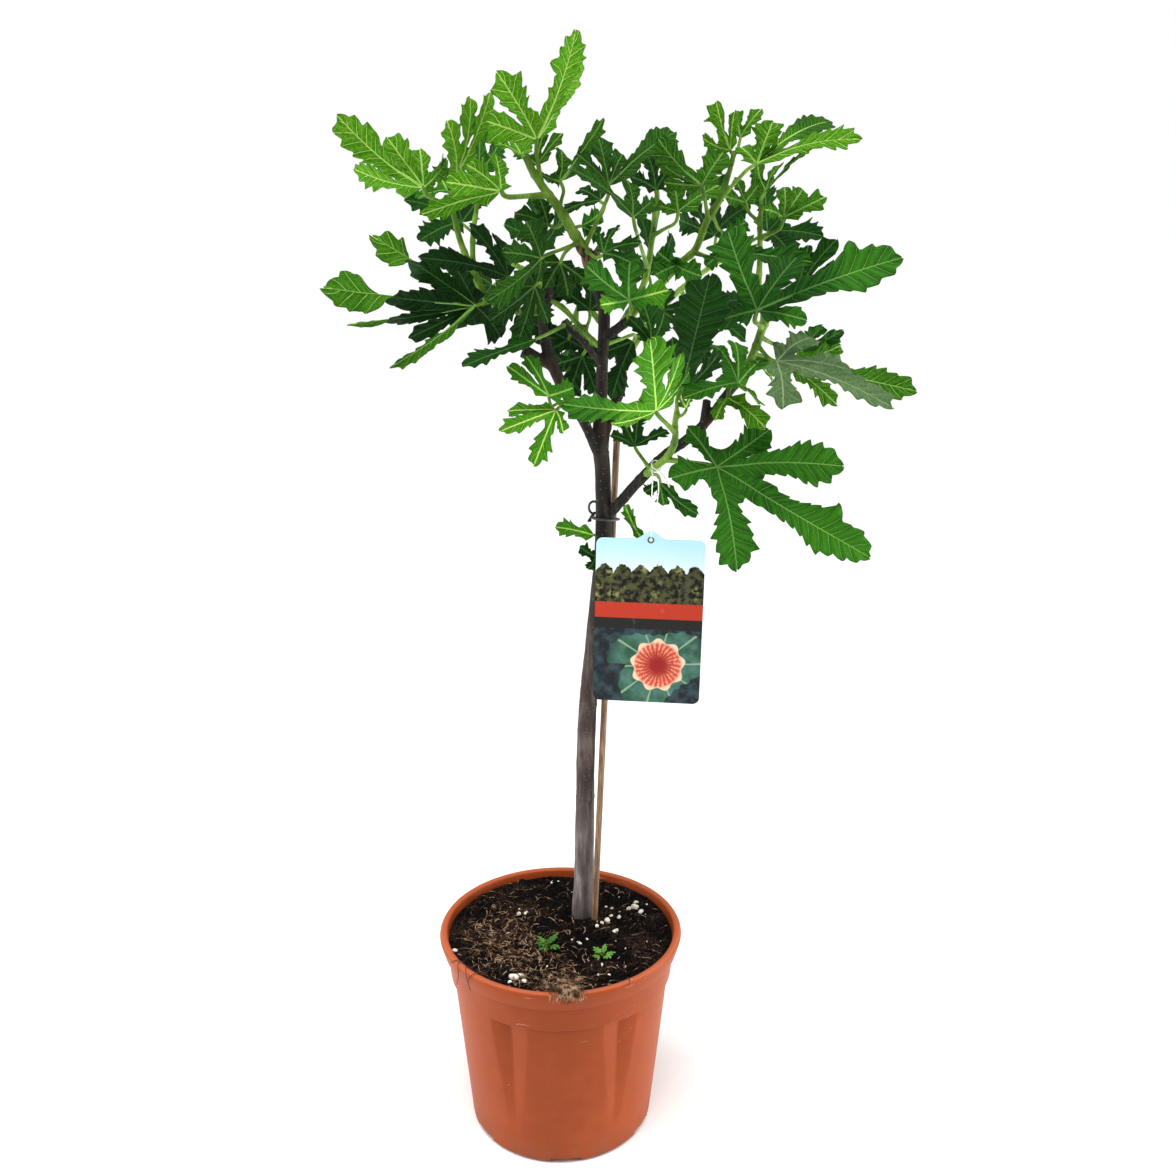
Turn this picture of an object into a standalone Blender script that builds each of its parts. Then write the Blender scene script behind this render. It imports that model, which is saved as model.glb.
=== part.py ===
# A young fig tree in a nursery pot: woody trunk, green shoots, lobed leaves, cane, tie and hanging label.
# Metres, +Z up, the origin at the centre of the pot's base, the front of the plant towards -Y.

import math
from collections import namedtuple

import bmesh
import bpy
from mathutils import Matrix, Vector

# Driving dimensions of the pot
POT_HEIGHT = 0.180
RIM_RADIUS = 0.105
RIM_INNER_RADIUS = 0.0983
RIM_BAND = 0.0165
BASE_RADIUS = 0.0794
WALL_SLOPE = 0.103
COLLAR_BOTTOM = 0.1395
COLLAR_STEP = 0.0024
WALL = 0.0020
FLOOR = 0.0030
GROOVES = 6
GROOVE_TURN = math.radians(3.8)
GROOVE_HALF_ANGLE = math.radians(10.5)
GROOVE_DEPTH = 0.0055
GROOVE_FADES_AT = 0.028
NOTCH_SIZE = (0.027, 0.020, 0.0052)

# Soil, holes and gaps
SOIL_LEVEL = 0.167
GAP = 0.0003
HOLE_GAP = 0.0005
ROOTED_TO = 0.055

# Label and thread
LABEL_SIZE = (0.0880, 0.0006, 0.1390)
LABEL_CORNER = 0.0055
LABEL_HOLE_RADIUS = 0.0022
LABEL_HOLE_DROP = 0.0008
LABEL_HUMP = (0.0130, 0.0064)
LABEL_YAW = math.radians(5.0)
LABEL_ROLL = math.radians(1.0)
THREAD = 0.0010

# Leaves
BLADE = 0.0008
CUP = 0.22
SINUS = 0.30
LONG_LOBE = 0.076
SHORT_LOBE = 0.030
STALK_RADIUS = 0.0015

# The front view that the plant's places are read in: a square view VIEW_SIZE across, seen from EYE
VIEW_SIZE = 1176
VIEW_FOCAL = 1203.0
EYE = Vector((0.024, -0.935, 0.740))
EYE_PITCH = math.radians(15.3)

Lobe = namedtuple("Lobe", "tip half roll arch twist spur")
Stem = namedtuple("Stem", "points radii")


# Places read in the front view


def at(across, down, depth):
    """The point at a place in the front view that lies depth metres behind the pot's axis."""
    side = (across - VIEW_SIZE / 2) / VIEW_FOCAL
    rise = (VIEW_SIZE / 2 - down) / VIEW_FOCAL
    ray = Vector((
        side,
        rise * math.sin(EYE_PITCH) + math.cos(EYE_PITCH),
        rise * math.cos(EYE_PITCH) - math.sin(EYE_PITCH),
    ))
    return EYE + ray * ((depth - EYE.y) / ray.y)


def seen(point):
    """Where a point shows in the front view."""
    way = point - EYE
    ahead = way.y * math.cos(EYE_PITCH) - way.z * math.sin(EYE_PITCH)
    rise = way.y * math.sin(EYE_PITCH) + way.z * math.cos(EYE_PITCH)
    return Vector((way.x, -rise)) * (VIEW_FOCAL / ahead) + Vector((VIEW_SIZE, VIEW_SIZE)) / 2


def stem(*places):
    """A stem from places (across, down, depth, radius)."""
    return Stem([at(*place[:3]) for place in places], [place[3] for place in places])


def on_stem(line, across, down):
    """The point of a stem's centreline that shows nearest to a place in the front view."""
    wanted = Vector((across, down))
    steps = [
        start.lerp(end, step / 20)
        for start, end in zip(line.points, line.points[1:])
        for step in range(21)
    ]
    return min(steps, key=lambda point: (seen(point) - wanted).length)


# Meshes


def mesh_object(name, vertices, faces):
    mesh = bpy.data.meshes.new(name)
    mesh.from_pydata(vertices, [], faces)
    mesh.validate()
    built = bmesh.new()
    built.from_mesh(mesh)
    bmesh.ops.recalc_face_normals(built, faces=built.faces)
    built.to_mesh(mesh)
    built.free()
    made = bpy.data.objects.new(name, mesh)
    bpy.context.scene.collection.objects.link(made)
    return made


def tube(name, points, radii, sides):
    """A closed tube along points, its rings turned as little as possible from one to the next."""
    vertices = []
    side = None
    for index, point in enumerate(points):
        before = points[max(index - 1, 0)]
        after = points[min(index + 1, len(points) - 1)]
        along = (after - before).normalized()
        if side is None:
            side = along.orthogonal().normalized()
        side = (side - along * side.dot(along)).normalized()
        across = along.cross(side)
        for turn in range(sides):
            angle = 2 * math.pi * turn / sides
            vertices.append(point + (side * math.cos(angle) + across * math.sin(angle)) * radii[index])
    faces = []
    for ring in range(len(points) - 1):
        low = ring * sides
        for turn in range(sides):
            beside = (turn + 1) % sides
            faces.append((low + turn, low + beside, low + sides + beside, low + sides + turn))
    faces.append(tuple(range(sides))[::-1])
    faces.append(tuple(range(len(vertices) - sides, len(vertices))))
    return mesh_object(name, vertices, faces)


def arc(start, end, lift, steps):
    """Points on a bent line from start to end, with its middle moved by lift."""
    middle = (start + end) / 2 + lift * 2
    points = []
    for step in range(steps + 1):
        share = step / steps
        points.append(start.lerp(middle, share).lerp(middle.lerp(end, share), share))
    return points


def apply_boolean(body, operation, collection, solver="EXACT"):
    modifier = body.modifiers.new(operation.lower(), "BOOLEAN")
    modifier.operation = operation
    modifier.solver = solver
    modifier.operand_type = "COLLECTION"
    modifier.collection = collection
    if solver == "EXACT":
        modifier.use_self = True
    bpy.context.view_layer.objects.active = body
    bpy.ops.object.modifier_apply(modifier=modifier.name)


def gather(name, pieces):
    """A collection that holds these objects and nothing else does."""
    group = bpy.data.collections.new(name)
    bpy.context.scene.collection.children.link(group)
    for piece in pieces:
        bpy.context.scene.collection.objects.unlink(piece)
        group.objects.link(piece)
    return group


def discard(group):
    for piece in list(group.objects):
        bpy.data.objects.remove(piece, do_unlink=True)
    bpy.data.collections.remove(group)


def fuse(name, pieces, solver="EXACT"):
    """All the pieces joined in one body."""
    body = pieces[0]
    if len(pieces) > 1:
        group = gather(name + "_pieces", pieces[1:])
        apply_boolean(body, "UNION", group, solver)
        discard(group)
    body.name = name
    body.data.name = name
    return body


def cut(body, cutters):
    group = gather(body.name + "_cutters", cutters)
    apply_boolean(body, "DIFFERENCE", group)
    discard(group)


def finish(body, color, roughness, metallic=0.0):
    """The object's own material, and smooth shading with its sharp edges kept."""
    material = bpy.data.materials.new(body.name)
    material.use_nodes = True
    shader = material.node_tree.nodes["Principled BSDF"]
    shader.inputs["Base Color"].default_value = (*color, 1.0)
    shader.inputs["Roughness"].default_value = roughness
    shader.inputs["Metallic"].default_value = metallic
    body.data.materials.clear()
    body.data.materials.append(material)
    body.data.shade_smooth()
    body.data.set_sharp_from_angle(angle=math.radians(35))
    return body


# Pot and soil


def pot_angles():
    """Angles round the pot: three at each groove, and four steps over each panel between two grooves."""
    pitch = 2 * math.pi / GROOVES
    panel = pitch - 2 * GROOVE_HALF_ANGLE
    steps = [-GROOVE_HALF_ANGLE, 0.0]
    steps += [GROOVE_HALF_ANGLE + panel * step / 4 for step in range(4)]
    start = -math.pi / 2 + GROOVE_TURN + pitch / 2
    return [start + pitch * groove + step for groove in range(GROOVES) for step in steps]


def groove_depth(index, height):
    """How far the wall is pushed in at one of pot_angles, at a height: only each groove's middle line."""
    if index % 6 != 1 or height > COLLAR_BOTTOM + 0.0001:
        return 0.0
    rise = max(0.0, height - GROOVE_FADES_AT) / (COLLAR_BOTTOM - GROOVE_FADES_AT)
    return GROOVE_DEPTH * min(1.0, rise * 1.15)


def wall_radius(height):
    return BASE_RADIUS + WALL_SLOPE * height


def inner_radius(height):
    """The pot's inner wall, without its grooves."""
    if height > COLLAR_BOTTOM + 0.004:
        share = (height - COLLAR_BOTTOM - 0.004) / (POT_HEIGHT - COLLAR_BOTTOM - 0.004)
        lower = wall_radius(COLLAR_BOTTOM) - WALL + 0.0012
        return lower + (RIM_INNER_RADIUS - lower) * share
    return wall_radius(height) - WALL


def turned(name, rings):
    """A closed shell from rings of (height, radius, groove share), with a point on the axis at each end."""
    angles = pot_angles()
    vertices = [Vector((0, 0, rings[0][0]))]
    for height, radius, grooved in rings:
        for index, angle in enumerate(angles):
            reach = radius - grooved * groove_depth(index, height)
            vertices.append(Vector((reach * math.cos(angle), reach * math.sin(angle), height)))
    vertices.append(Vector((0, 0, rings[-1][0])))
    count = len(angles)
    faces = []
    for index in range(count):
        beside = (index + 1) % count
        faces.append((0, 1 + beside, 1 + index))
        for ring in range(len(rings) - 1):
            low = 1 + ring * count
            high = low + count
            if rings[ring + 1][0] >= rings[ring][0]:
                faces.append((low + index, low + beside, high + beside))
                faces.append((low + index, high + beside, high + index))
            else:
                faces.append((low + index, low + beside, high + index))
                faces.append((low + beside, high + beside, high + index))
        top = 1 + (len(rings) - 1) * count
        faces.append((len(vertices) - 1, top + index, top + beside))
    return mesh_object(name, vertices, faces)


def notch_cutters():
    cutters = []
    for groove in range(GROOVES):
        angle = -math.pi / 2 + GROOVE_TURN + 2 * math.pi * groove / GROOVES
        built = bmesh.new()
        bmesh.ops.create_cube(built, size=1.0)
        bmesh.ops.scale(built, vec=NOTCH_SIZE, verts=built.verts)
        mesh = bpy.data.meshes.new("notch")
        built.to_mesh(mesh)
        built.free()
        cutter = bpy.data.objects.new("notch", mesh)
        bpy.context.scene.collection.objects.link(cutter)
        middle = BASE_RADIUS - 0.0035
        place = Vector((middle * math.cos(angle), middle * math.sin(angle), 0.0))
        mesh.transform(Matrix.Translation(place) @ Matrix.Rotation(angle + math.pi / 2, 4, "Z"))
        cutters.append(cutter)
    return cutters


def make_pot():
    band_bottom = POT_HEIGHT - RIM_BAND
    collar_top = wall_radius(COLLAR_BOTTOM) + COLLAR_STEP + 0.0022
    outer = [
        (0.0, BASE_RADIUS - 0.0020, 0),
        (0.0020, BASE_RADIUS, 0),
        (GROOVE_FADES_AT, wall_radius(GROOVE_FADES_AT), 1),
        (0.084, wall_radius(0.084), 1),
        (COLLAR_BOTTOM, wall_radius(COLLAR_BOTTOM), 1),
        (COLLAR_BOTTOM + 0.0016, wall_radius(COLLAR_BOTTOM) + COLLAR_STEP, 0),
        (band_bottom - 0.0008, collar_top, 0),
        (band_bottom, collar_top + 0.0028, 0),
        (POT_HEIGHT - 0.0030, RIM_RADIUS, 0),
        (POT_HEIGHT - 0.0004, RIM_RADIUS - 0.0016, 0),
        (POT_HEIGHT, RIM_RADIUS - 0.0034, 0),
        (POT_HEIGHT - 0.0012, RIM_INNER_RADIUS, 0),
    ]
    inner = [
        (POT_HEIGHT - 0.0080, inner_radius(POT_HEIGHT - 0.0080), 0),
        (COLLAR_BOTTOM + 0.0040, inner_radius(COLLAR_BOTTOM + 0.0040), 0),
        (COLLAR_BOTTOM - 0.0010, inner_radius(COLLAR_BOTTOM - 0.0010), 1),
        (0.084, inner_radius(0.084), 1),
        (GROOVE_FADES_AT, inner_radius(GROOVE_FADES_AT), 1),
        (FLOOR, inner_radius(FLOOR), 0),
    ]
    pot = turned("pot", outer + inner)
    cut(pot, notch_cutters())
    return finish(pot, (0.62, 0.19, 0.075), 0.42)


def soil_relief(x, y):
    """Lumps in the peat: slow swells with smaller clods on them, flat along the wall."""
    swell = math.sin(41 * x + 0.7) * math.cos(53 * y - 0.4)
    clods = math.sin(117 * x - 2.1) * math.sin(131 * y + 0.9) + math.cos(163 * x + 89 * y)
    heap = math.exp(-((x - 0.02) ** 2 + (y - 0.02) ** 2) / 0.0009)
    return 0.0013 * swell + 0.0009 * clods + 0.0022 * heap


def make_soil(trunk, stake):
    sides = [
        (FLOOR + GAP, inner_radius(FLOOR) - GAP, 0),
        (GROOVE_FADES_AT, inner_radius(GROOVE_FADES_AT) - GAP, 1),
        (0.084, inner_radius(0.084) - GAP, 1),
        (COLLAR_BOTTOM - 0.0010, inner_radius(COLLAR_BOTTOM - 0.0010) - GAP, 1),
        (COLLAR_BOTTOM + 0.0040, inner_radius(COLLAR_BOTTOM + 0.0040) - GAP, 0),
        (SOIL_LEVEL - 0.0015, inner_radius(SOIL_LEVEL - 0.0015) - GAP, 0),
        (SOIL_LEVEL, inner_radius(SOIL_LEVEL) * 0.93, 0),
        (SOIL_LEVEL, inner_radius(SOIL_LEVEL) * 0.76, 0),
        (SOIL_LEVEL, inner_radius(SOIL_LEVEL) * 0.52, 0),
        (SOIL_LEVEL, inner_radius(SOIL_LEVEL) * 0.27, 0),
    ]
    soil = turned("soil", sides)
    for vertex in soil.data.vertices:
        if vertex.co.z > SOIL_LEVEL - 0.0001:
            vertex.co.z += soil_relief(vertex.co.x, vertex.co.y)
    holes = []
    for line in (trunk, stake):
        foot, above = line.points[0], line.points[1]
        low = foot - (above - foot).normalized() * HOLE_GAP
        radius = max(line.radii[:2]) + HOLE_GAP
        holes.append(tube("hole", [low, foot.lerp(above, 2.0)], [radius, radius], 12))
    for foot in SEEDLING_PLACES:
        low = Vector((foot[0], foot[1], SOIL_LEVEL - 0.011))
        holes.append(tube("hole", [low, low + Vector((0, 0, 0.03))], [0.0024, 0.0024], 6))
    cut(soil, holes)
    return finish(soil, (0.030, 0.017, 0.010), 0.95)


# Wood

TRUNK_FOOT = at(583, 922, 0.0239)
TRUNK = Stem(
    [
        Vector((TRUNK_FOOT.x, TRUNK_FOOT.y, ROOTED_TO)),
        TRUNK_FOOT + Vector((0, 0, 0.004)),
        at(584, 880, 0.0243),
        at(585, 800, 0.0243),
        at(587, 720, 0.0232),
        at(594, 640, 0.0210),
        at(598, 600, 0.0186),
        at(603, 550, 0.0175),
        at(603, 480, 0.0160),
        at(600, 440, 0.0150),
        at(601, 400, 0.0160),
        at(603, 350, 0.0180),
        at(604, 312, 0.0200),
        at(597, 288, 0.0200),
        at(590, 262, 0.0190),
        at(586, 250, 0.0180),
    ],
    [0.0098, 0.0100, 0.0088, 0.0080, 0.0076, 0.0070, 0.0068, 0.0066, 0.0062, 0.0060, 0.0048, 0.0044, 0.0044, 0.0042]
    + [0.0058, 0.0045],
)
LEFT_BRANCH = stem(
    (600, 450, 0.0150, 0.0052), (585, 420, 0.0080, 0.0052), (562, 388, -0.0030, 0.0052),
    (546, 352, -0.0110, 0.0050), (543, 320, -0.0150, 0.0042), (547, 300, -0.0160, 0.0038), (552, 286, -0.0160, 0.0030),
)
RIGHT_BRANCH = stem(
    (607, 517, 0.0170, 0.0040), (640, 480, 0.0020, 0.0040), (665, 455, -0.0060, 0.0038),
    (685, 441, -0.0100, 0.0037), (707, 421, -0.0140, 0.0036), (728, 393, -0.0180, 0.0034), (737, 383, -0.0190, 0.0036),
)
DEAD_STUB = stem((556, 368, -0.0060, 0.0036), (535, 357, -0.0136, 0.0045), (523, 351, -0.0160, 0.0052))
CROSS_TWIG = stem((600, 362, 0.0180, 0.0026), (583, 342, 0.0080, 0.0024), (562, 323, 0.0000, 0.0020))
SPUR_TWIG = stem((604, 338, 0.0180, 0.0034), (617, 329, 0.0080, 0.0036), (629, 320, 0.0020, 0.0034))
KNEE_STUB = stem((703, 425, -0.0130, 0.0030), (707, 400, -0.0150, 0.0032))
BACK_BRANCH = stem(
    (602, 470, 0.0160, 0.0050), (612, 425, 0.0460, 0.0044), (622, 380, 0.0720, 0.0040), (612, 330, 0.0960, 0.0034),
)
WOOD = [TRUNK, LEFT_BRANCH, RIGHT_BRANCH, DEAD_STUB, CROSS_TWIG, SPUR_TWIG, KNEE_STUB, BACK_BRANCH]
WOOD_SIDES = [10, 8, 7, 6, 6, 6, 6, 6]


def wood_tubes(swell):
    """The wood's limbs as tubes, swollen by a gap where they are cutters."""
    limbs = []
    for line, sides in zip(WOOD, WOOD_SIDES):
        limbs.append(tube("limb", line.points, [radius + swell for radius in line.radii], sides))
    return limbs


def make_trunk():
    limbs = wood_tubes(0.0)
    for across, down, size in ((583, 797, 0.0094), (581, 704, 0.0086), (593, 452, 0.0082)):
        middle = on_stem(TRUNK, across, down)
        limbs.append(tube(
            "ring",
            [middle - Vector((0, 0, 0.0035)), middle, middle + Vector((0, 0, 0.0035))],
            [size - 0.0022, size, size - 0.0022],
            10,
        ))
    return finish(fuse("trunk", limbs), (0.115, 0.085, 0.065), 0.75)


# Cane, tie, label and thread

STAKE_TOP = at(617, 436, 0.0310)
STAKE_AT_SOIL = at(594, 928, 0.0110)
STAKE_RADIUS = 0.0027


def stake_line():
    along = (STAKE_TOP - STAKE_AT_SOIL).normalized()
    foot = STAKE_AT_SOIL - along * ((STAKE_AT_SOIL.z - ROOTED_TO) / along.z)
    return Stem([foot, STAKE_AT_SOIL, STAKE_TOP], [STAKE_RADIUS] * 3)


def make_stake():
    line = stake_line()
    cane = tube("cane", [line.points[0], line.points[2]], [STAKE_RADIUS] * 2, 10)
    pieces = [cane]
    for share in (0.36, 0.71):
        middle = line.points[0].lerp(line.points[2], share)
        along = (line.points[2] - line.points[0]).normalized() * 0.0016
        pieces.append(tube("knot", [middle - along, middle, middle + along], [0.0022, 0.0032, 0.0022], 10))
    return finish(fuse("stake", pieces), (0.36, 0.19, 0.11), 0.6)


def make_tie():
    """A wire round trunk and cane, its ring on the left and its twisted tail under it."""
    trunk_middle = on_stem(TRUNK, 604, 516)
    line = stake_line()
    share = (trunk_middle.z - line.points[0].z) / (line.points[2].z - line.points[0].z)
    cane_middle = line.points[0].lerp(line.points[2], share)
    wire = 0.0011
    between = (cane_middle - trunk_middle).normalized()
    beside = Vector((0, 0, 1)).cross(between).normalized()
    reach = 0.0066 + wire + 0.0007
    loop = []
    for step in range(9):
        angle = math.pi / 2 + math.pi * step / 8
        loop.append(trunk_middle + (between * math.cos(angle) + beside * math.sin(angle)) * reach)
    cane_reach = STAKE_RADIUS + wire + 0.0006
    for step in range(5):
        angle = -math.pi / 2 + math.pi * step / 4
        loop.append(cane_middle + (between * math.cos(angle) + beside * math.sin(angle)) * cane_reach)
    for point in loop:
        point.z -= 0.0030 + 0.16 * (point - trunk_middle).dot(between)
    pieces = [closed_tube("tie", loop, wire, 6)]
    ring_middle = trunk_middle + Vector((-0.0074, 0.0090, 0.0046))
    ring = []
    for step in range(10):
        angle = 2 * math.pi * step / 10
        ring.append(ring_middle + Vector((math.cos(angle) * 0.0040, -0.0008 * math.sin(angle), math.sin(angle) * 0.0052)))
    pieces.append(closed_tube("ring", ring, wire, 6))
    knot = trunk_middle + Vector((-0.0076, 0.0072, -0.0004))
    tail = [knot + Vector((0.0010, 0.0008, 0.0008)), knot, knot + Vector((-0.0014, -0.0034, -0.0018))]
    tail.append(knot + Vector((-0.0036, -0.0062, -0.0048)))
    pieces.append(tube("tail", tail, [0.0012, 0.0018, 0.0015, 0.0014], 6))
    return finish(fuse("tie", pieces), (0.020, 0.030, 0.028), 0.45)


def closed_tube(name, points, radius, sides):
    """A tube along a closed line of points."""
    count = len(points)
    vertices = []
    middle = sum(points, Vector()) / count
    for index, point in enumerate(points):
        along = (points[(index + 1) % count] - points[index - 1]).normalized()
        outward = point - middle
        outward = (outward - along * outward.dot(along)).normalized()
        up = along.cross(outward)
        for turn in range(sides):
            angle = 2 * math.pi * turn / sides
            vertices.append(point + (outward * math.cos(angle) + up * math.sin(angle)) * radius)
    faces = []
    for ring in range(count):
        low = ring * sides
        high = ((ring + 1) % count) * sides
        for turn in range(sides):
            beside = (turn + 1) % sides
            faces.append((low + turn, low + beside, high + beside, high + turn))
    return mesh_object(name, vertices, faces)


LABEL_HOLE = at(651, 540, 0.0060)


def label_matrix():
    """Puts the label's sheet, drawn with its hole at the origin, where it hangs."""
    return Matrix.Translation(LABEL_HOLE) @ Matrix.Rotation(-LABEL_YAW, 4, "Z") @ Matrix.Rotation(LABEL_ROLL, 4, "Y")


def make_label():
    width, depth, height = LABEL_SIZE
    outline = []
    for corner, start in (((1, 1), 0), ((-1, 1), 90), ((-1, -1), 180), ((1, -1), 270)):
        middle_x = corner[0] * (width / 2 - LABEL_CORNER)
        middle_z = corner[1] * (height / 2 - LABEL_CORNER)
        for step in range(5):
            angle = math.radians(start + 22.5 * step)
            outline.append((middle_x + LABEL_CORNER * math.cos(angle), middle_z + LABEL_CORNER * math.sin(angle)))
        if corner == (1, 1):
            for step in range(9):
                share = 1 - step / 4
                rise = LABEL_HUMP[1] * (1 + math.cos(math.pi * share)) / 2
                outline.append((LABEL_HUMP[0] * share, height / 2 + rise))
    drop = height / 2 - LABEL_HOLE_DROP
    count = len(outline)
    vertices = [Vector((x, side * depth / 2, z - drop)) for side in (-1, 1) for x, z in outline]
    faces = [tuple(range(count)), tuple(range(2 * count - 1, count - 1, -1))]
    faces += [(i, (i + 1) % count, count + (i + 1) % count, count + i) for i in range(count)]
    label = mesh_object("label", vertices, faces)
    cut(label, [tube("hole", [Vector((0, -0.01, 0)), Vector((0, 0.01, 0))], [LABEL_HOLE_RADIUS] * 2, 12)])
    label.data.transform(label_matrix())
    return finish(label, (0.45, 0.50, 0.42), 0.3)


def thread_route():
    """The thread's own points: its tail, a turn round the green shoot, down, through the hole and up again."""
    knot = on_stem(LOWER_SHOOT, 656, 466)
    hole = LABEL_HOLE
    route = [
        knot + Vector((0.0100, -0.0062, -0.0155)),
        knot + Vector((0.0075, -0.0068, -0.0100)),
        knot + Vector((0.0035, -0.0072, -0.0045)),
    ]
    along = (LOWER_SHOOT.points[1] - LOWER_SHOOT.points[0]).normalized()
    front = Vector((0, -1, 0)) - along * -along.y
    front.normalize()
    over = along.cross(front)
    for step in range(11):
        angle = math.radians(20 + 36 * step)
        turn = front * math.cos(angle) - over * math.sin(angle)
        route.append(knot + turn * 0.0044 + along * (0.0014 - 0.00034 * step))
    route += [
        knot + Vector((-0.0030, -0.0062, -0.0070)),
        knot.lerp(hole, 0.35) + Vector((-0.0022, -0.0052, 0)),
        knot.lerp(hole, 0.70) + Vector((-0.0010, -0.0042, 0)),
        hole + Vector((0.0000, -0.0026, 0.0030)),
        hole + Vector((0.0000, -0.0022, 0.0004)),
        hole + Vector((0.0000, 0.0000, -0.0012)),
        hole + Vector((0.0000, 0.0022, 0.0004)),
        hole + Vector((0.0006, 0.0024, 0.0034)),
        knot.lerp(hole, 0.70) + Vector((0.0018, 0.0010, 0)),
        knot.lerp(hole, 0.35) + Vector((0.0030, -0.0022, 0)),
        knot + Vector((0.0012, -0.0075, -0.0090)),
    ]
    return route


def smooth(points, spacing):
    """Points at even steps along a smooth curve through the given ones."""
    fine = []
    padded = [points[0] * 2 - points[1]] + points + [points[-1] * 2 - points[-2]]
    for index in range(len(points) - 1):
        a, b, c, d = padded[index:index + 4]
        for step in range(24):
            t = step / 24
            fine.append(0.5 * (2 * b + (c - a) * t + (2 * a - 5 * b + 4 * c - d) * t * t + (3 * b - a - 3 * c + d) * t ** 3))
    fine.append(points[-1])
    even = [fine[0]]
    run = 0.0
    for before, point in zip(fine, fine[1:]):
        run += (point - before).length
        if run >= spacing:
            even.append(point)
            run = 0.0
    if (even[-1] - points[-1]).length < spacing * 0.5:
        even.pop()
    return even + [points[-1]]


def make_thread():
    route = smooth(thread_route(), THREAD * 2.7)
    curve = bpy.data.curves.new("label_string", "CURVE")
    curve.dimensions = "3D"
    curve.bevel_depth = THREAD / 2
    curve.bevel_resolution = 2
    curve.use_fill_caps = True
    line = curve.splines.new("POLY")
    line.points.add(len(route) - 1)
    for spot, point in zip(line.points, route):
        spot.co = (*point, 1.0)
    thread = bpy.data.objects.new("label_string", curve)
    bpy.context.scene.collection.objects.link(thread)
    material = bpy.data.materials.new("label_string")
    material.use_nodes = True
    material.node_tree.nodes["Principled BSDF"].inputs["Base Color"].default_value = (0.85, 0.86, 0.84, 1)
    curve.materials.append(material)
    return thread


# Leaves


def tip(across, down, depth, half, roll=0, arch=0.06, twist=0, spur=None):
    """A lobe by its tip's place, half its width, its turn about its midrib, its bow and its twist towards the tip."""
    return Lobe(at(across, down, depth), half, math.radians(roll), arch, math.radians(twist), spur)


def leaf_normal(base, lobes):
    """The way a leaf faces: towards the front view where its lobes are listed clockwise in it."""
    total = Vector()
    for one, other in zip(lobes, lobes[1:]):
        total += (other.tip - base).cross(one.tip - base)
    if len(lobes) == 1 or total.length < 1e-6:
        along = (lobes[0].tip - base).normalized()
        facing = (EYE - base).normalized()
        total = facing - along * facing.dot(along)
    return total.normalized()


def gap_between(base, lobes, normal):
    """The way out between the last lobe and the first, where the stalk comes in, and how wide that gap is."""
    ways = [(lobe.tip - base).normalized() for lobe in lobes]
    fan = sum(one.angle(other) for one, other in zip(ways, ways[1:]))
    first = (ways[0] - normal * ways[0].dot(normal)).normalized()
    return Matrix.Rotation(math.pi - fan / 2, 3, normal) @ first, 2 * math.pi - fan


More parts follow.
